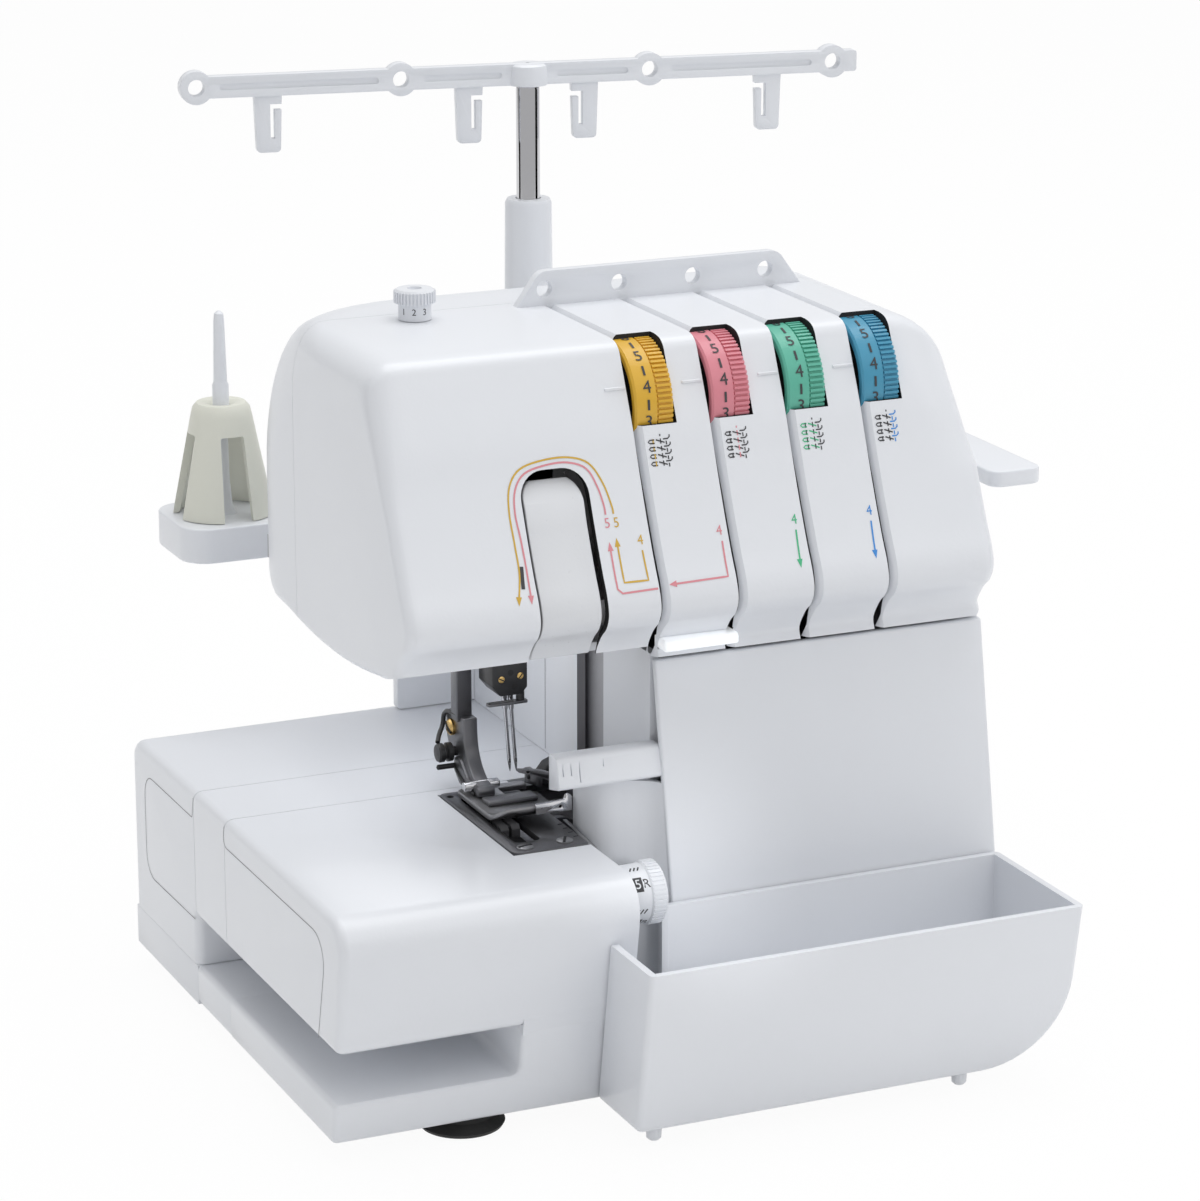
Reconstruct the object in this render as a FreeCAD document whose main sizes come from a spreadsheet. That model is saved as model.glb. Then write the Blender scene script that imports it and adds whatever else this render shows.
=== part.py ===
import FreeCAD, Part
import math
import os
import re

import Sketcher

# A four-thread overlock sewing machine, in millimetres. +X is the operator's right, +Y the back, +Z up.
# The origin lies on the table under the middle of the machine's box.

DOC = FreeCAD.newDocument("overlock")

SIZES = {
    # overall box and levels
    "width": 340, "depth": 282, "foot_height": 7, "pan_top": 21, "bed_top": 82.5,
    "head_bottom": 141, "head_top": 239, "tree_top": 303.5,
    # clearances
    "gap": 0.4, "run": 0.05, "wall": 3,
    # base and bed
    "bed_back": 93, "bed_front": 113.5, "bed_right": -67.5, "pan_front": 100.6, "pan_step": 80,
    "gap_top": 38, "gap_right": -108, "strip_front": -4, "strip_back": 27,
    "foot_radius": 14, "foot_left": -121, "foot_right": 45, "foot_front": -86, "foot_inner": -60,
    "foot_back": 70,
    # cast frame
    "cast": 8, "cast_left": -42, "cast_right": 58, "cast_front": -30, "cast_back": 70,
    "floor_front": -60, "floor_back": 78, "beam_left": -125, "beam_right": 62, "beam_front": -45,
    "beam_back": 75, "beam_top": 154, "arm_left": -100, "arm_right": -70, "arm_front": -80, "arm_back": 10,
    "arm_bottom": 62, "arm_top": 72, "post_front": -98, "post_width": 10, "post_top": 78, "rail": 4,
    # column and head
    "column_left": -46.5, "body_right": 72.2, "rear_left": -75.6, "rear_front": 82, "rear_wall": 4,
    "column_front": -66, "head_left": -134.6, "head_back": 88, "head_split": 20,
    "nose_y": -80.2, "nose_z": 160, "brow_y": -46, "brow_z": 236, "lip_y": -70.5,
    "slot_first": -49, "slot_pitch": 26.9, "slot_width": 2.5, "window_width": 15,
    "recess_left": -92.7, "recess_right": -67, "recess_top": 204,
    "lens_left": -47, "lens_right": -17, "lens_height": 6.4,
    # tension dials
    "dial_radius": 20.5, "dial_width": 12, "dial_y": -37, "dial_z": 217.5, "stud_radius": 3,
    # needle, presser and feed
    "needle_x": -76, "needle_y": -23, "needle_bar_radius": 3.6, "needle_radius": 0.6, "needle_space": 2.2,
    "needle_tip": 92.5, "clamp_bottom": 119, "clamp_top": 131,
    "presser_x": -87, "presser_y": -7, "presser_radius": 4, "presser_top": 198,
    "needle_bar_top": 225, "ankle_top": 108.5, "ankle_half": 6, "tongue_half": 3, "ankle_pin": 1.2,
    "plate_left": -97, "plate_right": -71, "plate_front": -73.6, "plate_back": -9, "plate_thick": 2.5,
    "sole_bottom": 83.9, "sole_thick": 3.2, "foot_toe": -50, "sole_right": -69.5, "pivot_z": 92,
    "feed_left": -91.5, "feed_right": -84.5, "feed_front": -58, "feed_back": -22, "feed_bar_front": -70,
    "feed_bar_back": -8, "feed_bar_top": 75, "leaf_bottom": 207, "knob_stem": 2.5,
    "knob_x": -95.6, "knob_y": 10, "knob_radius": 6.9, "knob_height": 8.5,
    "lifter_y": 30, "lifter_drop": 4, "lifter_pin": 2, "lifter_length": 46,
    # drive
    "shaft_y": 25, "shaft_z": 45, "shaft_radius": 5, "wheel_radius": 28, "wheel_width": 20,
    "pulley_radius": 24, "motor_y": 40, "motor_z": 112, "motor_radius": 26, "motor_pulley_radius": 8,
    "pulley_left": 59.5, "pulley_right": 66.5, "belt_thick": 1.6,
    "motor_shaft_radius": 2.5, "motor_left": -12, "motor_right": 50, "motor_cap": 8,
    # loopers and knives
    "looper_x": -56, "looper_z": 52, "looper_shaft_radius": 3, "looper_hub": 6, "looper_reach": -69,
    "upper_looper_y": -44, "upper_looper_top": 90, "lower_looper_y": -30, "lower_looper_top": 75,
    "knife_left": -68.6, "knife_right": -42.4, "knife_front": -27, "knife_back": -10, "knife_thick": 2.6,
    "knife_bottom": 84.5, "knife_top": 101, "knife_arm_bottom": 93, "knife_arm_top": 99,
    "blade_front": -72, "blade_back": -48, "blade_bottom": 64,
    # front cover, bin and dials on the body
    "cover_top_y": -69.5, "cover_foot_y": -83, "cover_foot_z": 63.2, "guide_left": -82,
    "guide_front": -75, "guide_bottom": 100, "guide_top": 113, "shield_front": -73, "shield_back": -70,
    "shield_bottom": 83.2, "shield_rib": 2, "rib_front": -78,
    "bin_left": -79, "bin_back": -80.3, "bin_rim": 62.8, "bin_floor": 6.8, "bin_wall": 2.5,
    "bin_notch_y": -116, "bin_notch_x": -50, "bin_peg": 2.5, "bin_peg_drop": 5,
    "width_dial_y": -92, "width_dial_z": 71, "width_dial_radius": 10,
    "width_dial_right": -52, "spindle_radius": 3, "rocker_pin": 1, "rocker_y": -42, "rocker_z": 108,
    "rocker_half_width": 8, "rocker_half_height": 9.9, "rocker_inset": 1.7, "inlet_y": -43, "inlet_z": 38,
    "inlet_half_width": 12, "inlet_half_height": 10, "inlet_wall": 3, "inlet_pin": 1.2, "inlet_pin_space": 4,
    "side_dial_radius": 11, "side_dial_z": 105, "length_dial_y": 0, "feed_dial_y": 62,
    # spool stand and thread tree
    "stand_left": -145, "stand_front": 100.6, "stand_bottom": 138, "stand_top": 150.5,
    "wing_width": 21.3, "wing_front": 59.4, "pin_radius": 2, "pin_top": 222.5, "pin_first": -124.8,
    "pin_pitch": 72, "pin_y": 121, "neck_left": -20, "neck_right": 60,
    "cone_top": 190.5, "cone_base": 17.6, "cone_neck": 9, "cone_wall": 2.5, "cone_cap": 6, "cone_gap": 7,
    "cone_band": 12,
    "pole_x": -8.8, "pole_y": 119.6, "pole_radius": 4.2, "tube_top": 253.5, "tube_radius": 8.1,
    "tube_flare": 1.1, "tube_floor": 2, "pole_foot": 18, "tree_turn": -8.76, "tree_boss": 7,
    "bar_length": 248, "bar_height": 7.5, "bar_thick": 5, "eyelet_radius": 5.8, "eyelet_hole": 2.9,
    "hook_drop": 20, "hook_width": 10, "hook_thick": 3, "hook_slit": 2, "hook_shift": 1.5,
    "eyelet_far_left": -118, "eyelet_left": -46, "eyelet_right": 44, "eyelet_far_right": 112,
    "hook_far_left": -93, "hook_left": -21.5, "hook_right": 20.4, "hook_far_right": 88,
}

SHEET = DOC.addObject("Spreadsheet::Sheet", "Sizes")
for row, (alias, value) in enumerate(SIZES.items(), start=1):
    SHEET.set(f"A{row}", alias)
    SHEET.set(f"B{row}", str(value))
    SHEET.setAlias(f"B{row}", alias)
DOC.recompute()

NODES = {}


def bind(text):
    """An expression on the sheet's named sizes."""
    return re.sub(r"[a-z][a-z_]+", lambda word: "Sizes." + word.group(0), str(text))


def tie(thing, **fields):
    """Bind each property of a thing to an expression on the sizes; __ stands for a dot."""
    for field, text in fields.items():
        thing.setExpression(field.replace("__", "."), bind(text))


def place(thing, x, y, z):
    """Bind a thing's position."""
    tie(thing, Placement__Base__x=x, Placement__Base__y=y, Placement__Base__z=z)


def block(x, y, z):
    """A box between the given low and high bounds on each axis."""
    box = DOC.addObject("Part::Box", "Block")
    tie(box, Length=f"({x[1]})-({x[0]})", Width=f"({y[1]})-({y[0]})", Height=f"({z[1]})-({z[0]})")
    place(box, x[0], y[0], z[0])
    return box


TURNS = {
    "x": FreeCAD.Rotation(FreeCAD.Vector(0, 1, 0), 90),
    "y": FreeCAD.Rotation(FreeCAD.Vector(1, 0, 0), -90),
    "z": FreeCAD.Rotation(),
}


def rod(axis, a, b, radius, low, high, top_radius=None):
    """A cylinder or cone along an axis; a and b are its place on the other two axes, in X, Y, Z order."""
    if top_radius is None:
        bar = DOC.addObject("Part::Cylinder", "Rod")
        tie(bar, Radius=radius)
    else:
        bar = DOC.addObject("Part::Cone", "Taper")
        tie(bar, Radius1=radius, Radius2=top_radius)
    tie(bar, Height=f"({high})-({low})")
    bar.Placement = FreeCAD.Placement(FreeCAD.Vector(), TURNS[axis])
    spots = {"x": (low, a, b), "y": (a, low, b), "z": (a, b, low)}[axis]
    place(bar, *spots)
    return bar


def cut(base, *tools):
    """The base with the tools taken away."""
    for tool in tools:
        result = DOC.addObject("Part::Cut", "Cut")
        result.Base = base
        result.Tool = tool
        base = result
    return base


def fuse(*pieces):
    """Touching pieces made one solid."""
    result = DOC.addObject("Part::MultiFuse", "Fuse")
    result.Shapes = list(pieces)
    return result


def group(*pieces):
    """Separate solids that share one node."""
    result = DOC.addObject("Part::Compound", "Group")
    result.Links = list(pieces)
    return result


PLANES = {"yz": "YZ_Plane", "xz": "XZ_Plane", "xy": "XY_Plane"}


def prism(plane, points, low, high):
    """A padded sketch: an outline of straight edges on a plane, from low to high along the third axis."""
    body = DOC.addObject("PartDesign::Body", "Prism")
    sketch = body.newObject("Sketcher::SketchObject", "Outline")
    origin = next(f for f in body.Origin.OriginFeatures if f.Role == PLANES[plane])
    sketch.AttachmentSupport = (origin, [""])
    sketch.MapMode = "FlatFace"
    start = f"-({high})" if plane == "xz" else low
    sketch.setExpression("AttachmentOffset.Base.z", bind(start))
    DOC.recompute()
    spots = [FreeCAD.Vector(worth(u), worth(v), 0) for u, v in points]
    count = len(spots)
    for index in range(count):
        sketch.addGeometry(Part.LineSegment(spots[index], spots[(index + 1) % count]))
    for index in range(count):
        sketch.addConstraint(Sketcher.Constraint("Coincident", index, 2, (index + 1) % count, 1))
    for index, (u, v) in enumerate(points):
        for kind, text, spot in (("DistanceX", u, spots[index].x), ("DistanceY", v, spots[index].y)):
            number = sketch.addConstraint(Sketcher.Constraint(kind, -1, 1, index, 1, spot))
            sketch.setExpression(f"Constraints[{number}]", bind(text))
    pad = body.newObject("PartDesign::Pad", "Pad")
    pad.Profile = sketch
    pad.setExpression("Length", bind(f"({high})-({low})"))
    DOC.recompute()
    return body


def worth(text):
    """The value of an expression on the sizes, for a first guess of a sketch point."""
    answer = SHEET.evalExpression(bind(text))
    return float(getattr(answer, "Value", answer))


def node(label, thing):
    """Name a finished sub-part."""
    thing.Label = label
    NODES[label] = thing
    return thing


LEFT = "-width/2"
RIGHT = "width/2"
FRONT = "-depth/2"
BACK = "depth/2"
SLOTS = [f"slot_first+{index}*slot_pitch" for index in range(4)]
PINS = [f"pin_first+{index}*pin_pitch" for index in range(4)]
EYELETS = ("eyelet_far_left", "eyelet_left", "eyelet_right", "eyelet_far_right")
HOOKS = (("hook_far_left", "+"), ("hook_left", "+"), ("hook_right", "-"), ("hook_far_right", "-"))


def make_base():
    """The bottom pan on rubber feet, and the covers of the bed round the free-arm gap."""
    def outline(inset):
        return [(f"{LEFT}+{inset}", f"-pan_front+{inset}"), (f"bed_right-{inset}", f"-pan_front+{inset}"),
                (f"bed_right-{inset}", f"-pan_step+{inset}"), (f"body_right-{inset}", f"-pan_step+{inset}"),
                (f"body_right-{inset}", f"bed_back-{inset}"), (f"{LEFT}+{inset}", f"bed_back-{inset}")]
    pan = prism("xy", outline("0"), "foot_height", "pan_top")
    hollow = prism("xy", outline("wall"), "foot_height+wall", "pan_top+1")
    front = block(("gap_right", "bed_right"), ("-pan_front", "strip_front"), ("pan_top", "gap_top-gap"))
    step = cut(front, block(("gap_right+wall", "bed_right-wall"), ("-pan_front+wall", "strip_front-wall"),
                            ("pan_top-1", "gap_top-gap-wall")))
    node("base_pan", fuse(cut(pan, hollow), step))
    spots = (("foot_left", "foot_front"), ("foot_left", "foot_back"),
             ("foot_right", "foot_inner"), ("foot_right", "foot_back"))
    node("rubber_feet", group(*[rod("z", x, y, "foot_radius*0.8", "0", "foot_height", "foot_radius")
                                for x, y in spots]))
    rear = block((LEFT, "column_left"), ("strip_back", "bed_back"), ("pan_top", "bed_top"))
    node("bed_rear_cover", cut(rear, block((f"{LEFT}+wall", "column_left-wall"),
                                           ("strip_back+wall", "bed_back-wall"),
                                           ("pan_top-1", "bed_top-wall"))))
    arm = block((LEFT, "column_left"), ("strip_front+gap", "strip_back-gap"), ("gap_top", "bed_top"))
    node("free_arm_cover", cut(arm, block((f"{LEFT}+wall", "column_left+1"),
                                          ("strip_front+gap+wall", "strip_back-gap-wall"),
                                          ("gap_top-1", "bed_top-wall")),
                               block(("plate_left-4", "column_left+1"), ("strip_front", "strip_front+wall+1"),
                                     ("gap_top-1", "bed_top-6"))))
    slope = "(bed_top-gap_top)*0.165"
    outer = prism("yz", [("strip_front", "gap_top"), (f"-bed_front+{slope}", "gap_top"),
                         ("-bed_front", "bed_top-7"), ("-bed_front+7", "bed_top"),
                         ("strip_front", "bed_top")], LEFT, "bed_right")
    inner = prism("yz", [("strip_front+1", "gap_top-1"), (f"-bed_front+{slope}+wall", "gap_top-1"),
                         ("-bed_front+wall", "bed_top-8"), ("-bed_front+8", "bed_top-wall"),
                         ("strip_front+1", "bed_top-wall")], f"{LEFT}+wall", "bed_right+1")
    seat = block(("plate_left-gap", "bed_right+1"), ("plate_front-gap", "strip_front+1"),
                 ("bed_top-wall-1", "bed_top+1"))
    node("extension_table", cut(outer, inner, seat))


def make_frame():
    """The cast frame that carries every mechanism, with the shaft's bearings in its walls."""
    floor, plate_seat = "foot_height+wall", "bed_top-plate_thick+0.5"
    casting = fuse(
        block(("cast_left", "cast_right+cast"), ("floor_front", "floor_back"), (floor, f"{floor}+cast")),
        block(("cast_left", "cast_left+cast"), ("cast_front", "cast_back"), (floor, "beam_top")),
        block(("cast_right-cast", "cast_right"), ("cast_front", "cast_back"), (floor, "beam_top")),
        block(("beam_left", "beam_right"), ("beam_front", "beam_back"), ("beam_top-cast", "beam_top")),
        block(("arm_left", "arm_right"), ("arm_front", "arm_back"), ("arm_bottom", "arm_top")),
        block(("arm_right-2", "cast_left+cast"), ("arm_back-16", "arm_back"), ("arm_bottom", "arm_top")),
        block(("looper_x-looper_hub", "looper_x+looper_hub"), ("arm_back-14", "arm_back-2"),
              ("looper_z-looper_hub", "arm_bottom+2")),
        block(("arm_left", "arm_left+post_width"), ("post_front", "arm_front+2"), ("arm_bottom", "post_top")),
        block(("plate_left", "plate_left+rail"), ("plate_front+gap", "plate_back"),
              ("arm_top-2", plate_seat)),
        block(("plate_right-rail", "plate_right"), ("plate_front+gap", "upper_looper_y-1"),
              ("arm_top-2", plate_seat)))
    casting = cut(
        casting,
        rod("x", "shaft_y", "shaft_z", "shaft_radius+4+run", "cast_left-3", "cast_right+2"),
        rod("x", "motor_y", "motor_z", "motor_shaft_radius+1", "cast_right-cast-2", "cast_right+2"),
        rod("y", "looper_x", "looper_z", "looper_shaft_radius", "arm_back-20", "arm_back"),
        rod("x", "width_dial_y", "width_dial_z", "spindle_radius+run", "arm_left-5", "arm_left+post_width+5"),
        rod("z", "needle_x", "needle_y", "needle_bar_radius+run", "beam_top-cast-6", "beam_top+6"),
        rod("z", "presser_x", "presser_y", "presser_radius+run", "beam_top-cast-6", "beam_top+6"))
    node("machine_frame", casting)
    rings = [cut(rod("x", "shaft_y", "shaft_z", "shaft_radius+4", low, f"{low}+cast"),
                 rod("x", "shaft_y", "shaft_z", "shaft_radius+run", f"{low}-1", f"{low}+cast+1"))
             for low in ("cast_left", "cast_right-cast")]
    node("shaft_bearings", group(*rings))
    shell = block(("column_left", "column_left+wall"), ("column_front", "rear_front-gap"),
                  ("bed_top+gap", "head_bottom-gap"))
    node("column_panel", cut(shell, block(("column_left-1", "column_left+wall+1"),
                                          ("knife_front-2", "knife_back+3"), ("bed_top+2", "head_bottom+1"))))
    corner = "body_right-wall-gap"
    node("rear_cover", prism("xz", [("rear_left", "bed_top+gap"), ("column_left+gap", "bed_top+gap"),
                                    ("column_left+gap", "pan_top+gap"), (corner, "pan_top+gap"),
                                    (corner, "head_bottom-gap"), ("rear_left", "head_bottom-gap")],
                             "rear_front", "rear_front+rear_wall"))
    side = block(("body_right-wall", "body_right"), ("column_front", "rear_front+rear_wall"),
                 ("pan_top+gap", "head_bottom-gap"))
    inside, outside = "body_right-wall-5", "body_right+5"
    node("right_cover", cut(
        side,
        rod("x", "shaft_y", "shaft_z", "shaft_radius+1", inside, outside),
        rod("x", "length_dial_y", "side_dial_z", "spindle_radius+run", inside, outside),
        rod("x", "feed_dial_y", "side_dial_z", "spindle_radius+run", inside, outside),
        block((inside, outside), ("rocker_y-rocker_half_width-0.5", "rocker_y+rocker_half_width+0.5"),
              ("rocker_z-rocker_half_height-0.6", "rocker_z+rocker_half_height+0.6")),
        rod("y", "body_right-rocker_inset", "rocker_z", "rocker_pin+run",
            "rocker_y-rocker_half_width-2.3", "rocker_y+rocker_half_width+2.3"),
        block((inside, outside), ("inlet_y-inlet_half_width-gap", "inlet_y+inlet_half_width+gap"),
              ("inlet_z-inlet_half_height-gap", "inlet_z+inlet_half_height+gap"))))


def make_head():
    """The head's two shells, its bottom plate, the take-up cover, the light and the thread guide."""
    def outline(inset):
        return [(f"lip_y+{inset}", f"head_bottom-{inset}/3"), (f"lip_y+{inset}", "head_bottom+6"),
                (f"nose_y+{inset}", "nose_z"), (f"nose_y+{inset}", "nose_z+5"),
                (f"brow_y+{inset}", f"brow_z-{inset}/2"), (f"brow_y+6+{inset}", f"head_top-{inset}"),
                (f"head_split+{inset}/3", f"head_top-{inset}"),
                (f"head_split+{inset}/3", f"head_bottom-{inset}/3")]
    shell = cut(prism("yz", outline("0"), "head_left", "body_right"),
                prism("yz", outline("wall"), "head_left+wall", "body_right-wall"))
    openings = []
    for slot in SLOTS:
        openings.append(block((f"{slot}+1", f"{slot}+window_width"),
                              ("dial_y-dial_radius-8.5", "dial_y+dial_radius-5.5"),
                              ("dial_z-dial_radius+5", "head_top+2")))
        openings.append(block((slot, f"{slot}+slot_width"), ("nose_y-2", "brow_y-4"),
                              ("nose_z-8", "dial_z-dial_radius+5.5")))
    openings.append(block(("recess_left", "recess_right"), ("nose_y-2", "brow_y-4"),
                          ("nose_z-8", "recess_top")))
    openings.append(block(("lens_left-gap", "lens_right+gap"), ("nose_y-2", "lip_y+10.5"),
                          ("head_bottom-2", "head_bottom+lens_height+gap")))
    openings.append(rod("z", "knob_x", "knob_y", "3", "head_top-10", "head_top+2"))
    node("head_front_cover", cut(shell, *openings))
    step = "head_split+gap"
    rear = prism("yz", [(step, "head_bottom"), ("head_back", "head_bottom"), ("head_back", "head_top-50"),
                        ("head_back-18", "head_top-16"), ("head_back-58", "head_top"),
                        (step, "head_top")], "head_left", "body_right")
    void = prism("yz", [(f"{step}-1", "head_bottom-1"), ("head_back-wall", "head_bottom-1"),
                        ("head_back-wall", "head_top-51"), ("head_back-20", "head_top-18.5"),
                        ("head_back-58.5", "head_top-wall"), (f"{step}-1", "head_top-wall")],
                 "head_left+wall", "body_right-wall")
    node("head_rear_cover", cut(rear, void))
    plate = block(("head_left+wall+gap", "column_left-1"), ("lip_y+wall+gap", "head_back-wall-gap"),
                  ("head_bottom+0.2", "head_bottom+3"))
    plate = cut(plate, rod("z", "needle_x", "needle_y", "10", "head_bottom-5", "head_bottom+5"),
                rod("z", "presser_x", "presser_y", "presser_radius+1", "head_bottom-5", "head_bottom+5"))
    pivot = rod("x", "lifter_y", "head_bottom-lifter_drop", "lifter_pin", "presser_x-10", "presser_x+10")
    lugs = [block((f"presser_x+({low})", f"presser_x+({low})+3"), ("lifter_y-3", "lifter_y+3"),
                  ("head_bottom-lifter_drop-2.5", "head_bottom+1")) for low in ("-10", "7")]
    node("head_base_plate", fuse(plate, pivot, *lugs))
    node("take_up_cover", prism("yz", [("nose_y", "nose_z-7.5"), ("nose_y", "nose_z+5"),
                                       ("nose_y+20", "recess_top-1.5"), ("nose_y+24", "recess_top-1.5"),
                                       ("nose_y+4", "nose_z+4"), ("nose_y+4", "nose_z-7.5")],
                                "recess_left+gap", "recess_right-gap"))
    node("lamp_lens", block(("lens_left", "lens_right"), ("lip_y-3", "lip_y+5.5"),
                            ("head_bottom", "head_bottom+lens_height")))
    guide = prism("xz", [("slot_first-9.7", "head_top"), ("slot_first+3*slot_pitch+13", "head_top"),
                         ("slot_first+3*slot_pitch+4", "head_top+11.5"), ("slot_first-1", "head_top+11.5")],
                  "knob_y+2", "knob_y+6")
    holes = [rod("y", slot, "head_top+5.5", "2.8", "knob_y-5", "knob_y+10") for slot in SLOTS]
    node("thread_guide_plate", cut(guide, *holes))


def make_tension():
    """Four numbered tension dials on studs in one bracket, with a pair of discs beside each."""
    ears = [block((f"{slot}-3.2", f"{slot}-1.2"), ("dial_y-8", "-5"), ("dial_z-12", "dial_z+9"))
            for slot in SLOTS]
    studs = [rod("x", "dial_y", "dial_z", "stud_radius", f"{slot}-3.2", f"{slot}+2+dial_width")
             for slot in SLOTS]
    back = block(("slot_first-6", "slot_first+4*slot_pitch-8"), ("-8", "-5"), ("beam_top", "dial_z+12"))
    node("tension_bracket", fuse(back, *ears, *studs))
    discs = []
    for slot in SLOTS:
        for start in ("-1", "0.4"):
            discs.append(cut(rod("x", "dial_y", "dial_z", "9", f"{slot}+({start})", f"{slot}+({start})+1.2"),
                             rod("x", "dial_y", "dial_z", "stud_radius+run", f"{slot}-4", f"{slot}+4")))
    node("tension_discs", group(*discs))
    for number, slot in enumerate(SLOTS, start=1):
        rim = rod("x", "dial_y", "dial_z", "dial_radius", f"{slot}+2", f"{slot}+2+dial_width")
        node(f"tension_dial_{number}", cut(rim, rod("x", "dial_y", "dial_z", "stud_radius+run",
                                                    f"{slot}", f"{slot}+20")))


def make_sewing():
    """The needle bar, the presser bar and foot, the needle plate, the feed, the loopers and the knives."""
    node("needle_bar", rod("z", "needle_x", "needle_y", "needle_bar_radius", "clamp_top", "needle_bar_top"))
    node("needle_clamp", block(("needle_x-8", "needle_x+5"), ("needle_y-6", "needle_y+6"),
                               ("clamp_bottom", "clamp_top")))
    node("needles", group(*[rod("z", f"needle_x+({side})*needle_space/2", "needle_y", "needle_radius",
                                "needle_tip", "clamp_bottom") for side in ("-1", "1")]))
    make_presser()
    plate = block(("plate_left", "plate_right"), ("plate_front", "plate_back"),
                  ("bed_top-plate_thick+0.5", "bed_top+0.5"))
    through = ("bed_top-12", "bed_top+7")
    feed_slot = block(("feed_left-1", "feed_right+1"), ("feed_front-6", "feed_back+6"), through)
    notch = block(("needle_x-3", "plate_right+1"), ("needle_y-3", "needle_y+3"), through)
    node("needle_plate", cut(plate, feed_slot, notch))
    node("feed_dog", fuse(block(("feed_left", "feed_right"), ("feed_front", "feed_back"),
                                ("feed_bar_top-2", "bed_top+0.9")),
                          block(("feed_left", "feed_right"), ("feed_bar_front", "feed_bar_back"),
                                ("arm_top+0.3", "feed_bar_top"))))
    node("looper_shaft", rod("y", "looper_x", "looper_z", "looper_shaft_radius",
                             "upper_looper_y-8", "arm_back-2"))
    for name in ("upper_looper", "lower_looper"):
        y, top = f"{name}_y", f"{name}_top"
        arm = fuse(rod("y", "looper_x", "looper_z", "looper_hub", y, f"{y}+looper_hub"),
                   block(("looper_x-2", "looper_x+2"), (y, f"{y}+looper_hub"), ("looper_z+3", top)),
                   block(("looper_reach", "looper_x+2"), (y, f"{y}+3"), (f"{top}-3", top)))
        node(name, cut(arm, rod("y", "looper_x", "looper_z", "looper_shaft_radius+run",
                                f"{y}-1", f"{y}+looper_hub+1")))
    node("upper_knife", fuse(block(("knife_left+knife_thick", "knife_right"), ("knife_front", "knife_back"),
                                   ("knife_arm_bottom", "knife_arm_top")),
                             block(("knife_left", "knife_left+knife_thick"), ("knife_front", "knife_back"),
                                   ("knife_bottom", "knife_top"))))
    node("lower_knife", block(("plate_right+1.6", "plate_right+4"), ("blade_front", "blade_back"),
                              ("blade_bottom", "bed_top+0.2")))


def make_presser():
    """The presser bar, its ankle and hinged foot, the pressure knob and leaf, and the lifter lever."""
    node("presser_bar", rod("z", "presser_x", "presser_y", "presser_radius", "ankle_top", "presser_top"))
    sides = ("presser_x-ankle_half", "presser_x+ankle_half")
    tongue = ("presser_x-tongue_half", "presser_x+tongue_half")
    ankle = block(sides, ("presser_y-ankle_half", "presser_y+ankle_half"), ("pivot_z-4", "ankle_top"))
    fork = block((f"{tongue[0]}-gap", f"{tongue[1]}+gap"), ("presser_y-7", "presser_y+7"),
                 ("pivot_z-5", "pivot_z+5"))
    node("presser_ankle", fuse(cut(ankle, fork), rod("x", "presser_y", "pivot_z", "ankle_pin", *sides)))
    sole_top = "sole_bottom+sole_thick"
    foot = fuse(block((sides[0], "sole_right"), ("foot_toe", "presser_y-8"), ("sole_bottom", sole_top)),
                block(tongue, ("presser_y-20", "presser_y+3"), (sole_top, "pivot_z+3")),
                block(tongue, ("presser_y-20", "presser_y-8"), ("sole_bottom", sole_top)))
    hinge = rod("x", "presser_y", "pivot_z", "ankle_pin+run", "presser_x-8", "presser_x+8")
    notch = block(("needle_x-4", "sole_right+1"), ("needle_y-4", "needle_y+4"), ("sole_bottom-1", "pivot_z"))
    node("presser_foot", cut(foot, hinge, notch))
    node("pressure_knob", fuse(rod("z", "knob_x", "knob_y", "knob_radius", "head_top+2",
                                   "head_top+2+knob_height"),
                               rod("z", "knob_x", "knob_y", "knob_stem", "leaf_bottom+3", "head_top+3")))
    node("pressure_leaf", block(("knob_x-4", "presser_x+4"), ("presser_y-4", "knob_y+5"),
                                ("leaf_bottom", "leaf_bottom+2.7")))
    axle = "head_bottom-lifter_drop"
    lever = fuse(rod("x", "lifter_y", axle, "lifter_pin+1.5", *sides),
                 block(sides, ("lifter_y-3", "lifter_y+lifter_length"), (f"{axle}-7", axle)))
    bore = rod("x", "lifter_y", axle, "lifter_pin+run", "presser_x-8", "presser_x+8")
    node("presser_lifter", cut(lever, bore))


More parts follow.
